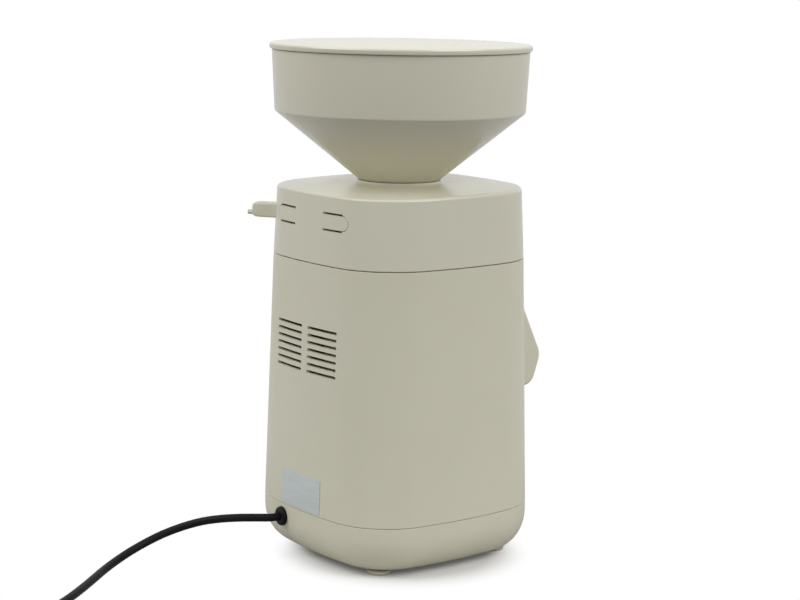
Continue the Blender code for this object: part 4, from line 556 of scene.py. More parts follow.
def sweptSlot(facts):
    # a rectangle spun about the shaft, as the lever swings
    piece = startMesh("leverSlot")
    level, sweep = facts["leverLevel"], math.radians(facts["leverLast"] - facts["leverFirst"])
    middle = (facts["slotMiddle"], 0, level)
    size = (facts["slotLength"], 1, facts["leverHalf"] * 2)
    bpy.ops.mesh.primitive_plane_add(size=1, location=middle, rotation=(quarter, 0, 0))
    bpy.ops.transform.resize(value=size, center_override=middle)
    first = math.radians(facts["leverFirst"])
    bpy.ops.transform.rotate(value=-first, orient_axis="Z", center_override=(0, 0, 0))
    bpy.ops.mesh.spin(steps=32, angle=-sweep, center=(0, 0, level), axis=(0, 0, 1))
    pick("EDGE", lambda edge: edge.is_boundary)
    bpy.ops.mesh.edge_face_add()
    outward(piece)
    return piece


def tongue(side, root, tip, half, rounding):
    # a block through the wall, its end away from the root rounded
    (near, far), level = tabs["depth"], tabs["level"]
    left, right = sorted((side * root, side * tip))
    corners = (left, near, level - half), (right, far, level + half)
    if not rounding:
        return box("tongue", *corners)

    def atTip(place):
        return abs(place.x) > root + 1e-4

    # the two roundings stop just short of meeting
    return roundedBox("tongue", *corners, rounding * 0.999, "Y", 12, atTip)


def makeTab(side, name, body, stands):
    wall, level, inset = casePlan["wall"], tabs["level"], tabs["inset"]
    top, low = tabs["top"], upperHousing["low"]
    tab = ringShell(name, [caseRing(top, wall), caseRing(top), caseRing(low), caseRing(low, wall)])
    sheet = tongue(side, tabs["root"] + tabs["rootGap"], tabs["tip"], tabs["half"], tabs["half"])
    cutWith(tab, sheet, "INTERSECT")
    x = side * mainHousing["catchX"]
    left, right = x - tabs["armHalf"], x + tabs["armHalf"]
    face, depth = -tabs["armFace"], tabs["armDepth"]
    armTop = level + tabs["half"] - tabs["armDrop"]
    cutWith(tab, box("arm", (left, face, tabs["armBottom"]), (right, face + depth, armTop)), "UNION")
    left, right, middle = left + inset, right - inset, face + depth / 2
    outer, half = -sideY(level, x, wall / 2), tabs["blockHalf"]
    cutWith(tab, box("block", (left, outer, level - half), (right, middle, level + half)), "UNION")
    back, low = face - tabs["hookReach"], tabs["hookBottom"]
    cutWith(tab, box("hook", (left, back, low), (right, middle, tabs["hookTop"])), "UNION")
    smoothFaces(tab, 30, weighted=True)
    return settle(tab, body, "cream_shell", stands)


upperPiece = makeUpperHousing(upperHousing)
makeTab(-1, "releaseTabLeft", "left_tab", "release_tab_left")
makeTab(1, "releaseTabRight", "right_tab", "release_tab_right")
print("upper housing and tabs made", len(upperPiece.data.polygons))


# bottom cover, feet

bottomCover = {
    "bottom": 0.0030, "floor": 0.0055, "rounding": 0.0210, "tall": 0.0260, "edge": 0.0004, "lipTop": 0.0410,
    "innerSteps": 8, "outerSteps": 12, "towerBottom": 0.0042, "boreTop": 0.0455,
    "recessRadius": 0.0035, "recess": (0.0005, 0.0085),
    "intakeRows": 7, "intakePitch": 0.0085, "intakeWidth": 0.0032, "intakeLength": 0.056,
    "intakeDepth": (-0.002, 0.008), "intakeCorner": 0.00155,
}
glandSeat = {
    "x": -0.0225, "level": 0.0276,
    "hole": [(0.0047, -0.0075), (0.0047, 0.0075)], "room": [(0.0059, -0.0100), (0.0059, -0.0028)],
}
footShape = [
    (0.0029, 0.0054), (0.0029, 0.0027), (0.0081, 0.0027), (0.0085, 0.0024), (0.0085, 0.0012),
    (0.0083, 0.0006), (0.0079, 0.0002), (0.0074, 0.0),
]


def makeBottomCover(facts):
    rounding, tall, seam = facts["rounding"], facts["tall"], casePlan["baseSeam"]
    inner, innerTall = rounding - casePlan["wall"], tall - (facts["floor"] - facts["bottom"])
    half = casePlan["halfBase"]
    rings = []
    for step in range(facts["innerSteps"] + 1):
        angle = quarter * step / facts["innerSteps"]
        level = facts["floor"] + innerTall * (1 - math.cos(angle))
        rings.append((level, caseArcs(half, rounding - inner * math.sin(angle))))
    rings += lipRings(seam, facts["lipTop"])
    rings += [caseRing(seam, casePlan["lipInset"]), *roundedEdge(seam, facts["edge"], -1)]
    for step in range(facts["outerSteps"] + 1):
        angle = quarter * step / facts["outerSteps"]
        level = facts["bottom"] + tall * (1 - math.sin(angle))
        rings.append((level, caseArcs(half, rounding * (1 - math.cos(angle)))))
    cover = ringShell("bottomCover", rings, closed=False)
    towers = rods("towers", screwSpots(), casePlan["towerRadius"], facts["towerBottom"], facts["lipTop"])
    cutWith(cover, towers, "UNION")
    bores = rods("bores", screwSpots(), casePlan["boreRadius"], facts["bottom"], facts["boreTop"], 24)
    cutWith(cover, bores)
    cutWith(cover, rods("recess", screwSpots(), facts["recessRadius"], *facts["recess"]))
    slots = []
    wide, long, middle = facts["intakeWidth"] / 2, facts["intakeLength"] / 2, (facts["intakeRows"] - 1) / 2
    low, high = facts["intakeDepth"]
    for row in range(facts["intakeRows"]):
        y = (row - middle) * facts["intakePitch"]
        corners = (-long, y - wide, low), (long, y + wide, high)
        slots.append(roundedBox("slot", *corners, facts["intakeCorner"], "Z", 4))
    cutWith(cover, joinAll("slots", slots))
    for part in ("hole", "room"):
        tool = cappedPiece(part, glandSeat[part], 48)
        pushTo(tool, *glandPlace())
        cutWith(cover, tool)
    smoothFaces(cover, 30, weighted=True)
    return settle(cover, "base", "cream_shell", "bottom_cover")


def glandPlace():
    x, level = glandSeat["x"], glandSeat["level"]
    return (x, -sideY(level, x), level), (quarter, 0, math.asin(x / casePlan["sideRadius"]))


makeBottomCover(bottomCover)
for column, side in (("left", -1), ("right", 1)):
    for row, face in (("back", -1), ("front", 1)):
        foot = cappedPiece(row + column.title() + "Foot", footShape, 48)
        pushTo(foot, (side * casePlan["screwSpread"], face * casePlan["screwSpread"], 0))
        smoothFaces(foot, 35)
        settle(foot, "base", "rubber_foot", "foot_" + row + "_" + column)
print("bottom cover and feet made")


# hopper and lid

hopperShape = [
    (0.0860, 0.3499), (0.0863, 0.3502), (0.0880, 0.3502), (0.0884, 0.3498),
    (0.08645, 0.3094), (0.08630, 0.30865), (0.08590, 0.30800),
    (0.02880, 0.26180), (0.02845, 0.2616), (0.0260, 0.2615),
    (0.0260, 0.2463), (0.0252, 0.2455), (0.0236, 0.2455), (0.0236, 0.2636), (0.0240, 0.2642),
    (0.0834, 0.3090), (0.0838, 0.3097),
]
lidShape = [
    (0.0020, 0.3546), (0.0880, 0.3546), (0.0890, 0.35445), (0.0896, 0.3541), (0.0900, 0.3533),
    (0.0900, 0.3513), (0.0898, 0.3508), (0.0894, 0.3505), (0.0850, 0.3505), (0.0850, 0.3440),
    (0.0847, 0.3436), (0.0835, 0.3435), (0.0831, 0.3439), (0.0831, 0.3520), (0.0825, 0.3522),
    (0.0020, 0.3522),
]

hopper = turnedPiece("hopper", hopperShape, 160)
smoothFaces(hopper, 25)
settle(hopper, "hopper", "cream_gloss", "hopper")
lid = cappedPiece("lid", lidShape, 160)
smoothFaces(lid, 25)
settle(lid, "lid", "cream_gloss", "lid")
print("hopper and lid made")


# flour spout

spoutShape = {
    "half": 0.0265, "root": 0.0729, "slopeTop": 0.2035, "reach": 0.1119, "tip": 0.1306,
    "outlet": 0.1080, "outletReach": 0.1042, "rounding": 0.0034, "lip": 0.0066, "nose": 0.0048,
    "wall": 0.0022, "edge": 0.0004, "sharp": 0.4, "trimLevels": (0.080, 0.209), "trimGap": 0.0003,
}


def makeSpout(facts):
    half, root, low, top = facts["half"], facts["root"], facts["outlet"], facts["slopeTop"]
    front, tip, middle = facts["reach"], facts["tip"], (facts["root"] + facts["reach"]) / 2
    spout = box("flourSpout", (-half, root, low), (half, front, top))
    wallTop = sideY(top, 0)
    slope = (top - tip) / (front - wallTop)

    def rounded(test, width):
        pick("EDGE", test)
        bpy.ops.mesh.bevel(offset=width, segments=6, profile=0.5, clamp_overlap=True)

    openMesh(spout)
    pick("VERT", lambda vert: vert.co.y > middle and vert.co.z > top - tiny)
    bpy.ops.transform.translate(value=(0, 0, tip - top))
    pick("VERT", lambda vert: vert.co.y > middle and vert.co.z < low + tiny)
    bpy.ops.transform.translate(value=(0, facts["outletReach"] - front, 0))
    pick("VERT", lambda vert: vert.co.y < middle and vert.co.z > top - tiny)
    bpy.ops.transform.translate(value=(0, 0, slope * (wallTop - root)))

    def atLip(edge):
        return all(vert.co.y > middle and vert.co.z < low + tiny for vert in edge.verts)

    def atNose(edge):
        return all(vert.co.y > front - tiny and abs(vert.co.z - tip) < tiny for vert in edge.verts)

    def atRim(edge):
        first, second = edge.verts[0].co, edge.verts[1].co
        back = first.y < root + tiny and second.y < root + tiny
        under = first.z < low + tiny and second.z < low + tiny
        return not back and not under and edge.calc_face_angle(0) > facts["sharp"]

    def openSide(face):
        place = face.calc_center_median()
        return place.y < root + tiny or place.z < low + tiny

    rounded(atLip, facts["lip"])
    rounded(atNose, facts["nose"])
    rounded(atRim, facts["rounding"])
    pick("FACE", openSide)
    bpy.ops.mesh.delete(type="FACE")
    bpy.ops.object.mode_set(mode="OBJECT")
    modify(spout, "SOLIDIFY", thickness=facts["wall"], offset=-1, use_even_offset=True)
    cutWith(spout, ringShell(
        "trim", [caseRing(level, -facts["trimGap"]) for level in facts["trimLevels"]], closed=False))
    bevelEdges(spout, facts["edge"], 2, 50)
    smoothFaces(spout, 35, weighted=True)
    return settle(spout, "base", "cream_shell", "flour_spout")


makeSpout(spoutShape)
print("flour spout made")


# adjusting lever

leverShape = {
    "sections": [
        (0.0285, 0.00425, 0.0047), (0.0780, 0.0042, 0.0047), (0.0840, 0.0043, 0.0048),
        (0.0900, 0.00473, 0.0053), (0.1010, 0.00473, 0.0053), (0.1048, 0.0046, 0.0052),
        (0.1070, 0.0038, 0.0043), (0.1080, 0.0024, 0.0028),
    ],
    "rounding": 0.0015, "angle": 216.0,
    "nub": [(0.0017, -0.004), (0.0017, 0.0034), (0.0015, 0.0038), (0.0011, 0.0040)],
    "nubPlace": (0.1080, 0, -0.0023),
    "bore": [(0.0016, -0.01), (0.0016, 0.01)], "borePlace": (0.0326, 0, 0),
}


def makeLever(facts):
    lever = sectionPiece("adjustingLever", [(x, wide, high, 0) for x, wide, high in facts["sections"]])
    openMesh(lever)
    pick("EDGE", lambda edge: abs(edge.verts[0].co.x - edge.verts[1].co.x) > 1e-4)
    bpy.ops.mesh.bevel(offset=facts["rounding"], segments=4, profile=0.5)
    bpy.ops.object.mode_set(mode="OBJECT")
    nub = cappedPiece("nub", facts["nub"], 32)
    pushTo(nub, facts["nubPlace"], (0, quarter, 0))
    cutWith(lever, nub, "UNION")
    bore = cappedPiece("bore", facts["bore"], 24)
    pushTo(bore, facts["borePlace"])
    cutWith(lever, bore)
    pushTo(lever, (0, 0, upperHousing["leverLevel"]), (0, 0, math.radians(facts["angle"])))
    smoothFaces(lever, 35, weighted=True)
    return settle(lever, "adjuster", "cream_shell", "adjusting_lever")


makeLever(leverShape)
print("lever made")


# power switch on the side, under the lever

switchShape = {
    "width": 0.021, "height": 0.028, "depth": 0.014, "bezel": 0.0018, "border": 0.0016, "step": 0.0001,
    "plateLift": 0.0003, "plateCorner": 0.0016, "edge": 0.0005, "wellDepth": 0.0062, "wellTop": 0.02,
    "wellCorner": 0.0006, "face": 0.0042, "tilt": 8.0, "under": -0.0010, "gap": 0.0006, "narrow": 0.5,
    "pivotDepth": 0.0032,
}


def makeSwitch(facts):
    wide, high, border, bezel = facts["width"] / 2, facts["height"] / 2, facts["border"], facts["bezel"]
    lift, edge, face = facts["plateLift"], facts["edge"], facts["face"]
    body = box("switchBody", (-wide, bezel - facts["depth"], -high), (wide, bezel - facts["step"], high))
    out, up = wide + border, high + border
    plate = roundedBox("plate", (-out, lift, -up), (out, bezel + lift, up), facts["plateCorner"])
    bevelEdges(plate, edge, 3, 60)
    cutWith(body, plate, "UNION")
    wide, high = wide - border, high - border
    corners = (-wide, bezel - facts["wellDepth"], -high), (wide, facts["wellTop"], high)
    cutWith(body, roundedBox("well", *corners, facts["wellCorner"]))
    pushTo(body, *switchPlace())
    smoothFaces(body, 30, weighted=True)
    settle(body, "base", "black_plastic", "switch_body")

    wide, high = wide - facts["gap"], high - facts["gap"]
    lean = math.radians(facts["tilt"])
    rocker = box("switchRocker", (-wide, facts["under"], -high), (wide, face, high))
    openMesh(rocker)
    splitAt((0, 0, 0), (0, 0, 1))
    pick("VERT", lambda vert: vert.co.y > face - tiny and abs(vert.co.z) > high - tiny)
    bpy.ops.transform.translate(value=(0, high * math.tan(lean), 0))
    pick("VERT", lambda vert: vert.co.y < 0 and abs(vert.co.z) > high - tiny)
    bpy.ops.transform.resize(value=(1, 1, facts["narrow"]), center_override=(0, 0, 0))
    pick("VERT", lambda vert: vert.co.y > face - tiny and abs(vert.co.z) < tiny)
    bpy.ops.transform.translate(value=(0, -facts["gap"], 0))
    bpy.ops.object.mode_set(mode="OBJECT")
    bevelEdges(rocker, edge, 3, 30)
    pivot = Matrix.Translation((0, bezel - facts["pivotDepth"], 0))
    rocker.data.transform(pivot @ Matrix.Rotation(-lean, 4, "X"))
    pushTo(rocker, *switchPlace())
    smoothFaces(rocker, 30, weighted=True)
    settle(rocker, "rocker", "black_plastic", "switch_rocker")


makeSwitch(switchShape)
print("switch made")


# bare rating plate on the back wall

labelShape = {
    "low": (-0.0245, 0.0382), "high": (0.0223, 0.0625), "depth": (-0.0845, -0.0840), "thick": 0.00025,
    "rounding": 0.0008, "columns": 12, "levels": (0.0448, 0.0510, 0.0568), "stand": 0.00008,
}


def makeLabel(facts):
    (left, bottom), (right, top), (near, far) = facts["low"], facts["high"], facts["depth"]
    label = roundedBox("ratingPlate", (left, near, bottom), (right, far, top), facts["rounding"], "Y", 4)
    openMesh(label)
    pick("FACE", lambda face: face.calc_center_median().y > far - 1e-4 or abs(face.normal.y) < 0.5)
    bpy.ops.mesh.delete(type="FACE")
    for column in range(1, facts["columns"]):
        splitAt((left + (right - left) * column / facts["columns"], 0, 0), (1, 0, 0))
    for level in facts["levels"]:
        splitAt((0, 0, level), (0, 0, 1))
    bpy.ops.object.mode_set(mode="OBJECT")
    pushTo(label, (0, axisY, 0))
    modify(label, "SHRINKWRAP", target=mainPiece, wrap_method="PROJECT",
           use_project_y=True, use_project_x=False, use_project_z=False,
           use_positive_direction=True, use_negative_direction=True, offset=facts["stand"])
    modify(label, "SOLIDIFY", thickness=facts["thick"], offset=1)
    smoothFaces(label, 40)
    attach(label, "base")
    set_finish(label, "zinc_steel")
    return label


labelPiece = makeLabel(labelShape)
print("rating plate made")


# gland, cord, coil tie and plug

cordFacts = {
    "radius": 0.0028, "coilCentre": (0.0546, -0.3000), "innerTurn": 0.0260, "pitch": 0.0062,
    "turns": (195, 2160), "lift": (985, 1115), "lower": (2030, 2160), "coilStep": 15,
    "plugPlace": (0.0986, -0.29133 - axisY), "plugLevel": 0.00685, "plugRun": (0.010, 0.020),
    "leadOut": 0.004, "fineness": 3,
    "route": [
        (-0.0225, -0.0830, 0.0276), (-0.0232, -0.0900, 0.0276), (-0.0262, -0.0990, 0.0283),
        (-0.0322, -0.1090, 0.0284), (-0.0410, -0.1190, 0.0272), (-0.0505, -0.1290, 0.0246),
        (-0.0590, -0.1400, 0.0204), (-0.0652, -0.1520, 0.0155), (-0.0678, -0.1640, 0.0108),
        (-0.0664, -0.1770, 0.0070), (-0.0608, -0.1908, 0.0043), (-0.0514, -0.2052, 0.0029),
        (-0.0390, -0.2194, 0.0028), (-0.0254, -0.2350, 0.0028), (-0.0122, -0.2512, 0.0028),
        (-0.0010, -0.2670, 0.0028), (0.0075, -0.2822, 0.0028), (0.0130, -0.2970, 0.0028),
    ],
}


def ease(value):
    value = min(1, max(0, value))
    return value * value * (3 - 2 * value)


def coilPoint(degrees, facts):
    # a spiral inwards on the floor, then one outwards on top of it, which sinks to the plug's level
    low = facts["radius"]
    (lowEnd, topStart), (start, end) = facts["lift"], facts["lower"]
    turns = (max(0, lowEnd - degrees) + max(0, degrees - topStart)) / 360
    radius = facts["innerTurn"] + facts["pitch"] * turns
    level = low + 2 * low * ease((degrees - lowEnd) / (topStart - lowEnd))
    level -= ease((degrees - start) / (end - start)) * (3 * low - facts["plugLevel"])
    angle = math.radians(degrees)
    x, y = facts["coilCentre"]
    return Vector((x + radius * math.cos(angle), y + radius * math.sin(angle), level))


def makeCord(facts):
    points = [Vector(place) for place in facts["route"]]
    first, last = facts["turns"]
    points += [coilPoint(degrees, facts) for degrees in range(first, last + 1, facts["coilStep"])]
    x, y = facts["plugPlace"]
    for along in (points[-1].y + facts["leadOut"], *(y + run for run in facts["plugRun"])):
        points.append(Vector((x, along, facts["plugLevel"])))
    bpy.ops.curve.primitive_nurbs_path_add()
    cord = bpy.context.object
    cord.name = "mainsCord"
    cord.data.name = "mainsCord"
    curve = cord.data
    curve.splines.remove(curve.splines[0])
    spline = curve.splines.new("POLY")
    ends = [points[0] * 2 - points[1]] + points + [points[-1] * 2 - points[-2]]
    fine = []
    for index in range(1, len(ends) - 2):
        before, start, end, after = ends[index - 1:index + 3]
        for part in range(facts["fineness"]):
            t = part / facts["fineness"]
            bend = (before * 2 - start * 5 + end * 4 - after) * t * t
            twist = (start * 3 - before - end * 3 + after) * t * t * t
            fine.append((start * 2 + (end - before) * t + bend + twist) / 2)
    fine.append(points[-1])
    spline.points.add(len(fine) - 1)
    # the thickness is in the points, so that the curve's bound box is its own
    for point, place in zip(spline.points, fine):
        point.co = (place.x, place.y + axisY, place.z, 1)
        point.radius = facts["radius"]
    curve.dimensions = "3D"
    curve.bevel_depth = 1
    curve.bevel_resolution = 6
    curve.use_fill_caps = True
    spline.use_smooth = True
    return cord, sum((b - a).length for a, b in zip(fine, fine[1:]))


glandShape = [
    (0.0031, 0.0033), (0.0046, 0.00325), (0.0056, 0.0030), (0.0062, 0.0026), (0.0066, 0.0019),
    (0.0068, 0.0011), (0.0068, 0.0003), (0.0044, 0.0003), (0.0044, -0.0031), (0.0056, -0.0031),
    (0.0054, -0.0040), (0.0046, -0.0055), (0.0031, -0.0055),
]
gland = turnedPiece("cordGland", glandShape, 64)
pushTo(gland, *glandPlace())
smoothFaces(gland, 40)
settle(gland, "base", "black_rubber", "cord_gland")


tieShape = {
    "wide": 0.0099, "high": 0.0059, "thick": 0.0006, "half": 0.0030,
    "corner": 0.0027, "innerCorner": 0.0022,
    "tail": (0.002, 0.0085), "tailLevels": (-0.0001, 0.0008), "tailShare": 0.8, "tailEdge": 0.0003,
    "angle": 52.0, "reach": 0.0325,
}


def makeTie(facts, centre):
    # a flat band around all the turns at one place
    wide, high, half = facts["wide"], facts["high"], facts["half"]
    band = roundedBox("coilTie", (-wide, -half, -high), (wide, half, high), facts["corner"])
    across, up = wide - facts["thick"], high - facts["thick"]
    cutWith(band, roundedBox("hole", (-across, -0.01, -up), (across, 0.01, up), facts["innerCorner"]))
    (left, right), (low, top), narrow = facts["tail"], facts["tailLevels"], half * facts["tailShare"]
    tail = box("tail", (left, -narrow, high + low), (right, narrow, high + top))
    bevelEdges(tail, facts["tailEdge"], 2, 60)
    cutWith(band, tail, "UNION")
    angle, reach = math.radians(facts["angle"]), facts["reach"]
    x, y = centre
    pushTo(band, (x + reach * math.cos(angle), y + reach * math.sin(angle), high), (0, 0, angle))
    smoothFaces(band, 35, weighted=True)
    return settle(band, "base", "black_plastic")


plugShape = {
    "sections": [
        (0.0215, 0.0046, 0.0044), (0.0260, 0.0075, 0.0060), (0.0330, 0.0122, 0.0067),
        (0.0375, 0.0130, 0.0068), (0.0495, 0.0130, 0.0068), (0.0560, 0.0112, 0.0068),
    ],
    "rounding": 0.0024, "ribs": 7, "ribStart": 0.0015, "ribPitch": 0.0028, "ribGrow": 0.00014,
    "reliefRoot": [(0.00285, -0.0001), (0.0034, 0.0)],
    "rib": [(0.0036, 0), (0.0036, 0.0017), (0.0031, 0.0019), (0.0031, 0.0026)],
    "reliefEnd": [(0.0044, 0.0222), (0.0044, 0.0240), (0.0030, 0.0240)],
    "pin": [(0.0020, -0.002), (0.0020, 0.0178), (0.0017, 0.0186), (0.0010, 0.0190)],
    "pinRoot": 0.0560, "pinSide": 0.0093,
}


def makePlug(facts, place, level):
    body = sectionPiece("plugBody", [(x, wide, high, level) for x, wide, high in facts["sections"]])
    bevelEdges(body, facts["rounding"], 5, 30)
    profile = list(facts["reliefRoot"])
    for number in range(facts["ribs"]):
        start, grow = facts["ribStart"] + number * facts["ribPitch"], facts["ribGrow"] * number
        profile += [(radius + grow, start + along) for radius, along in facts["rib"]]
    relief = cappedPiece("relief", profile + facts["reliefEnd"], 48)
    pushTo(relief, (0, 0, level), (0, quarter, 0))
    cutWith(body, relief, "UNION")
    smoothFaces(body, 35)
    pushTo(body, (*place, 0), (0, 0, quarter))
    settle(body, "base", "black_rubber", "plug")
    pins = []
    for side in (-1, 1):
        pin = cappedPiece("pin", facts["pin"], 32)
        pins.append(movedTo(pin, (facts["pinRoot"], side * facts["pinSide"], level), (0, quarter, 0)))
    pins = joinAll("plugPins", pins)
    pushTo(pins, (*place, 0), (0, 0, quarter))
    smoothFaces(pins, 35)
    settle(pins, "base", "shaft_steel")
    return body, pins


tiePiece = makeTie(tieShape, cordFacts["coilCentre"])
plugPiece, pinPiece = makePlug(plugShape, cordFacts["plugPlace"], cordFacts["plugLevel"])
cordPiece, cordLength = makeCord(cordFacts)
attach(cordPiece, "base")
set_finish(cordPiece, "black_rubber")
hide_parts("power_cord", "cord_coil")
print("cord made", round(cordLength, 4))


# materials

def toLinear(colour):
    # the standard screen curve, undone
    shares = [value / 255 for value in colour]
    bent = [share / 12.92 if share <= 0.04045 else ((share + 0.055) / 1.055) ** 2.4 for share in shares]
    return bent + [1]


class Nodes:
    # short words for building one material's nodes
    def __init__(self, name):
        self.material = bpy.data.materials.new(name)
        self.material.use_nodes = True
        self.tree = self.material.node_tree
        self.shader = self.tree.nodes["Principled BSDF"]
        self.places = self.tree.nodes.new("ShaderNodeTexCoord").outputs["Object"]

    def add(self, kind, **values):
        node = self.tree.nodes.new(kind)
        for key, value in values.items():
            if hasattr(node, key):
                setattr(node, key, value)
            else:
                self.put(node.inputs[key.replace("_", " ")], value)
        return node

    def put(self, socket, value):
        if isinstance(value, bpy.types.NodeSocket):
            self.tree.links.new(value, socket)
        else:
            socket.default_value = value

    def noise(self, scale, detail, stretch=None, rough=0.5):
        places = self.places
        if stretch:
            mapping = self.add("ShaderNodeMapping", Vector=places)
            mapping.inputs["Scale"].default_value = stretch
            places = mapping.outputs["Vector"]
        node = self.add("ShaderNodeTexNoise", Vector=places, Scale=scale, Detail=detail, Roughness=rough)
        return node.outputs["Fac"]

    def between(self, source, low, high):
        node = self.tree.nodes.new("ShaderNodeMapRange")
        self.put(node.inputs["Value"], source)
        node.inputs["From Min"].default_value = 0.3
        node.inputs["From Max"].default_value = 0.7
        node.inputs["To Min"].default_value = low
        node.inputs["To Max"].default_value = high
        return node.outputs["Result"]

    def mixed(self, source, first, second):
        node = self.tree.nodes.new("ShaderNodeMix")
        node.data_type = "RGBA"
        self.put(node.inputs[0], source)
        self.put(node.inputs[6], first)
        self.put(node.inputs[7], second)
        return node.outputs[2]

    def bump(self, height, distance, strength, normal=None):
        node = self.add("ShaderNodeBump", Height=height, Distance=distance, Strength=strength)
        if normal:
            self.put(node.inputs["Normal"], normal)
        return node.outputs["Normal"]

    def tones(self, source, look):
        mixed = self.mixed(source, toLinear(look["colour"]), toLinear(look["second"]))
        self.put(self.shader.inputs["Base Color"], mixed)

    def rough(self, source, look):
        self.put(self.shader.inputs["Roughness"], self.between(source, *look["rough"]))

    def grain(self, source, look, strength):
        self.put(self.shader.inputs["Normal"], self.bump(source, look["depth"], strength))


looks = {
    "creamShell": {
        "slot": "cream_shell", "colour": (228, 225, 205), "second": (224, 221, 200), "patch": 11,
        "rough": (0.35, 0.40), "grain": 2300, "depth": 0.00003, "lift": 0.50,
    },
    "creamGloss": {
        "slot": "cream_gloss", "colour": (228, 225, 206), "second": (225, 222, 202), "patch": 9,
        "rough": (0.19, 0.25), "grain": 240, "depth": 0.00001, "lift": 0.60,
    },
    "innerPlastic": {
        "slot": "inner_plastic", "colour": (214, 208, 184), "second": (204, 197, 172), "patch": 40,
        "rough": (0.48, 0.58), "grain": 1500, "depth": 0.00005, "lift": 0.40,
    },
    "whitePlastic": {
        "slot": "white_plastic", "colour": (226, 225, 219), "second": (219, 218, 211), "patch": 60,
        "rough": (0.38, 0.48), "grain": 1800, "depth": 0.00003, "lift": 0.45,
    },
    "rubberFoot": {
        "slot": "rubber_foot", "colour": (228, 224, 205), "second": (222, 217, 198), "patch": 120,
        "rough": (0.62, 0.74), "grain": 2600, "depth": 0.00005, "lift": 0.50,
    },
    "blackRubber": {
        "slot": "black_rubber", "colour": (20, 19, 23), "second": (15, 14, 18), "patch": 90,
        "rough": (0.44, 0.52), "grain": 900, "depth": 0.00001, "lift": 0.15,
    },
    "blackPlastic": {
        "slot": "black_plastic", "colour": (33, 33, 35), "second": (27, 27, 29), "patch": 90,
        "rough": (0.285, 0.35), "grain": 2200, "depth": 0.00002, "lift": 0.50,
    },
    "fanPlastic": {
        "slot": "fan_plastic", "colour": (50, 50, 52), "second": (42, 42, 44), "patch": 120,
        "rough": (0.44, 0.55), "grain": 1400, "depth": 0.00005, "lift": 0.40,
    },
}
metals = {
    "zincSteel": {
        "slot": "zinc_steel", "colour": (190, 193, 196), "second": (172, 178, 186), "patch": 160,
        "rough": (0.285, 0.38), "stretch": (1, 1, 1), "grain": 900, "depth": 0.00002,
    },
    "shaftSteel": {
        "slot": "shaft_steel", "colour": (188, 188, 192), "second": (176, 176, 181), "patch": 90,
        "rough": (0.16, 0.26), "stretch": (1, 1, 30), "grain": 260, "depth": 0.00001,
    },
    "motorIron": {
        "slot": "motor_iron", "colour": (104, 104, 109), "second": (84, 84, 90), "patch": 120,
        "rough": (0.40, 0.52), "stretch": (0.02, 0.02, 8), "grain": 220, "depth": 0.00010,
    },
    "dieCast": {
        "slot": "die_cast", "colour": (178, 180, 182), "second": (160, 163, 167), "patch": 80,
        "rough": (0.42, 0.56), "stretch": (1, 1, 1), "grain": 1300, "depth": 0.00006,
    },
}


copperLook = {
    "colour": (150, 74, 40), "second": (205, 118, 70), "ridges": 210, "waver": 2.5, "patch": 300,
    "rough": (0.28, 0.42), "depth": 0.00018, "metal": 0.85, "coat": 0.3, "coatRough": 0.15,
}
stoneLook = {
    "grit": (226, 221, 210), "colour": (206, 200, 188), "second": (172, 164, 150),
    "gritScale": 900, "patch": 420, "rough": (0.78, 0.92), "gritDepth": 0.00025, "depth": 0.00020,
    "lift": 0.25,
}
feltLook = {
    "colour": (224, 217, 196), "second": (188, 180, 156), "fibre": 1600, "stretch": (1, 1, 4),
    "rough": 0.92, "depth": 0.00025, "sheen": 0.35,
}
foilLook = {
    "colour": (216, 224, 223), "second": (208, 216, 216), "brush": 700, "stretch": (0.05, 1, 1),
    "rough": (0.34, 0.44), "depth": 0.00001, "metal": 0.15,
}


def makePlastic(name, look):
    maker = Nodes(name)
    maker.tones(maker.between(maker.noise(look["patch"], 4, rough=0.6), 0, 1), look)
    maker.rough(maker.noise(look["patch"] * 4, 2), look)
    maker.grain(maker.noise(look["grain"], 2), look, 0.6)
    maker.shader.inputs["Specular IOR Level"].default_value = look["lift"]
    return maker.material


def makeMetal(name, look):
    maker = Nodes(name)
    maker.shader.inputs["Metallic"].default_value = 1
    maker.tones(maker.between(maker.noise(look["patch"], 4, rough=0.65), 0, 1), look)
    maker.rough(maker.noise(look["patch"] * 4, 3), look)
    maker.grain(maker.noise(look["grain"], 3, look["stretch"]), look, 0.7)
    return maker.material


def makeCopper(look):
    # wound wire under clear lacquer: fine ridges around the ring
    maker = Nodes("copperWinding")
    shader = maker.shader
    wave = maker.add(
        "ShaderNodeTexWave", Vector=maker.places, Scale=look["ridges"], Distortion=look["waver"], Detail=2)
    wave.bands_direction = "Z"
    maker.tones(wave.outputs["Fac"], look)
    maker.rough(maker.noise(look["patch"], 3), look)
    maker.grain(wave.outputs["Fac"], look, 0.8)
    shader.inputs["Metallic"].default_value = look["metal"]
    shader.inputs["Coat Weight"].default_value = look["coat"]
    shader.inputs["Coat Roughness"].default_value = look["coatRough"]
    return maker.material


def makeStone(look):
    # corundum grit in a pale ceramic bond
    maker = Nodes("grindstone")
    shader = maker.shader
    grains = maker.add("ShaderNodeTexVoronoi", Vector=maker.places, Scale=look["gritScale"])
    grit = grains.outputs["Distance"]
    speck = maker.noise(look["patch"], 5, rough=0.7)
    pale = maker.mixed(maker.between(speck, 0, 1), toLinear(look["colour"]), toLinear(look["second"]))
    maker.put(shader.inputs["Base Color"], maker.mixed(grit, toLinear(look["grit"]), pale))
    maker.rough(speck, look)
    coarse = maker.bump(grit, look["gritDepth"], 0.8)
    maker.put(shader.inputs["Normal"], maker.bump(speck, look["depth"], 0.6, coarse))
    shader.inputs["Specular IOR Level"].default_value = look["lift"]
    return maker.material


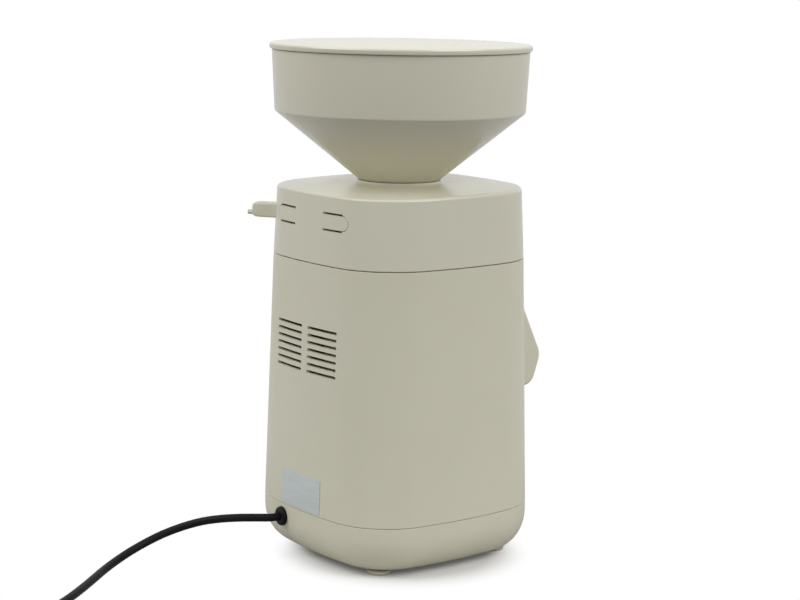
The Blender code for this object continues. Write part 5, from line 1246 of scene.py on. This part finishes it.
def makeFelt(look):
    maker = Nodes("feltSeal")
    shader = maker.shader
    fibre = maker.noise(look["fibre"], 5, look["stretch"], 0.75)
    maker.tones(maker.between(fibre, 0, 1), look)
    shader.inputs["Roughness"].default_value = look["rough"]
    shader.inputs["Sheen Weight"].default_value = look["sheen"]
    maker.grain(fibre, look, 0.8)
    return maker.material


def makeFoil(look):
    # brushed foil under a matt coat, left bare
    maker = Nodes("ratingFoil")
    brushed = maker.noise(look["brush"], 3, look["stretch"])
    maker.tones(maker.between(brushed, 0, 1), look)
    maker.rough(brushed, look)
    maker.grain(brushed, look, 0.5)
    maker.shader.inputs["Metallic"].default_value = look["metal"]
    return maker.material


finishes = {}
for kinds, maker in ((looks, makePlastic), (metals, makeMetal)):
    for lookName, look in kinds.items():
        finishes[look["slot"]] = maker(lookName, look)
finishes["copper_winding"] = makeCopper(copperLook)
finishes["grindstone"] = makeStone(stoneLook)
finishes["felt"] = makeFelt(feltLook)


def wear(piece, material):
    piece.data.materials.clear()
    piece.data.materials.append(material)


finishOf = {entry["node"]: entry["material_slot"] for entry in frame["record"]["subparts"]}
for nodeName, node in nodes.items():
    for number in range(len(node.material_slots)):
        node.material_slots[number].material = finishes[finishOf[nodeName]]
for piece in scene.objects:
    if "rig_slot" in piece:
        wear(piece, finishes[piece["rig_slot"]])
wear(labelPiece, makeFoil(foilLook))
print("materials made")


# floor, lamps and surroundings

lightFacts = {
    "floorRadius": 8, "floorLevel": -0.0002, "floorColour": (238, 238, 237),
    "poolColour": (197, 196, 194), "farColour": (128, 127, 125), "poolReach": (0.14, 0.50),
    "floorGlow": 0.06, "fadeCentre": (0.018, -0.018, 0), "fadeReach": (0.059, 0.092),
    "floorMirrored": 0.70, "mirrorReach": (0.13, 0.40), "ambient": 0.36, "mirrored": 0.80,
    "aim": (0, 0, 0.2),
    "lamps": [
        {"name": "overhead", "place": (-0.1, -0.1, 1.9), "size": 2.0, "power": 3},
        {"name": "leftBox", "place": (-0.46, -1.53, 1.64), "size": 1.4, "power": 18},
        {"name": "rightBox", "place": (1.52, 0.50, 1.64), "size": 1.4, "power": 19},
    ],
}


def combined(tree, operation, first, second):
    # a maths node fed by two sockets or numbers
    node = tree.nodes.new("ShaderNodeMath")
    node.operation = operation
    for socket, value in zip(node.inputs, (first, second)):
        if isinstance(value, bpy.types.NodeSocket):
            tree.links.new(value, socket)
        else:
            socket.default_value = value
    return node.outputs[0]


def makeFloor(facts):
    clearSelection()
    bpy.ops.mesh.primitive_circle_add(
        vertices=96, radius=facts["floorRadius"], location=(0, 0, facts["floorLevel"]))
    floor = bpy.context.object
    floor.name = "studioFloor"
    bpy.ops.object.mode_set(mode="EDIT")
    bpy.ops.mesh.select_all(action="SELECT")
    bpy.ops.mesh.edge_face_add()
    bpy.ops.object.mode_set(mode="OBJECT")
    pushTo(floor)
    material = bpy.data.materials.new("studioFloor")
    material.use_nodes = True
    tree = material.node_tree
    tree.nodes.remove(tree.nodes["Principled BSDF"])
    paint = tree.nodes.new("ShaderNodeBsdfDiffuse")
    glow = tree.nodes.new("ShaderNodeEmission")
    seen = tree.nodes.new("ShaderNodeLightPath").outputs
    places = tree.nodes.new("ShaderNodeTexCoord")

    def fading(reach, near, far, centre=(0, 0, 0)):
        away = tree.nodes.new("ShaderNodeVectorMath")
        away.operation = "DISTANCE"
        away.inputs[1].default_value = centre
        tree.links.new(places.outputs["Object"], away.inputs[0])
        fade = tree.nodes.new("ShaderNodeMapRange")
        fade.interpolation_type = "SMOOTHSTEP"
        tree.links.new(away.outputs["Value"], fade.inputs["Value"])
        fade.inputs["From Min"].default_value, fade.inputs["From Max"].default_value = reach
        fade.inputs["To Min"].default_value = near
        fade.inputs["To Max"].default_value = far
        return fade.outputs["Result"]

    def blend(share, first, second):
        mix = tree.nodes.new("ShaderNodeMix")
        mix.data_type = "RGBA"
        tree.links.new(share, mix.inputs[0])
        for socket, value in ((mix.inputs[6], first), (mix.inputs[7], second)):
            if isinstance(value, bpy.types.NodeSocket):
                tree.links.new(value, socket)
            else:
                socket.default_value = toLinear(value)
        return mix.outputs[2]

    # a pale pool round the mill throws light back up, and the camera sees plain white paper
    pool = blend(fading(facts["poolReach"], 0, 1), facts["poolColour"], facts["farColour"])
    tree.links.new(blend(seen["Is Camera Ray"], pool, facts["floorColour"]), paint.inputs["Color"])
    fade = fading(facts["fadeReach"], facts["floorGlow"], 1, facts["fadeCentre"])
    paper = combined(tree, "MULTIPLY", seen["Is Camera Ray"], fade)
    # glossy sides mirror white paper too, but not so bright
    fade = fading(facts["mirrorReach"], 0, facts["floorMirrored"])
    mirror = combined(tree, "MULTIPLY", seen["Is Glossy Ray"], fade)
    both = tree.nodes.new("ShaderNodeMixShader")
    tree.links.new(combined(tree, "MAXIMUM", paper, mirror), both.inputs[0])
    tree.links.new(paint.outputs[0], both.inputs[1])
    tree.links.new(glow.outputs[0], both.inputs[2])
    tree.links.new(both.outputs[0], tree.nodes["Material Output"].inputs["Surface"])
    floor.data.materials.append(material)


def makeSurroundings(facts):
    world = bpy.data.worlds.new("studio")
    scene.world = world
    world.use_nodes = True
    tree = world.node_tree
    back = tree.nodes["Background"]
    back.inputs["Color"].default_value = (1, 1, 1, 1)
    # full white to the camera and through clear things, a little less in mirrors, dim as light
    seen = tree.nodes.new("ShaderNodeLightPath").outputs
    mirror = combined(tree, "MULTIPLY", seen["Is Glossy Ray"], facts["mirrored"])
    clear = combined(tree, "MAXIMUM", seen["Is Transmission Ray"], mirror)
    level = tree.nodes.new("ShaderNodeMapRange")
    tree.links.new(combined(tree, "MAXIMUM", seen["Is Camera Ray"], clear), level.inputs["Value"])
    level.inputs["To Min"].default_value = facts["ambient"]
    level.inputs["To Max"].default_value = 1
    tree.links.new(level.outputs["Result"], back.inputs["Strength"])


def makeLamps(facts):
    for lamp in facts["lamps"]:
        clearSelection()
        aim = (Vector(facts["aim"]) - Vector(lamp["place"])).to_track_quat("-Z", "Y").to_euler()
        bpy.ops.object.light_add(type="AREA", location=lamp["place"], rotation=aim)
        light = bpy.context.object
        light.name = lamp["name"]
        light.data.shape = "DISK"
        light.data.size = lamp["size"]
        light.data.energy = lamp["power"]


makeFloor(lightFacts)
makeSurroundings(lightFacts)
makeLamps(lightFacts)
scene.view_settings.view_transform = "Standard"
print("floor and lamps set")

bpy.context.view_layer.update()
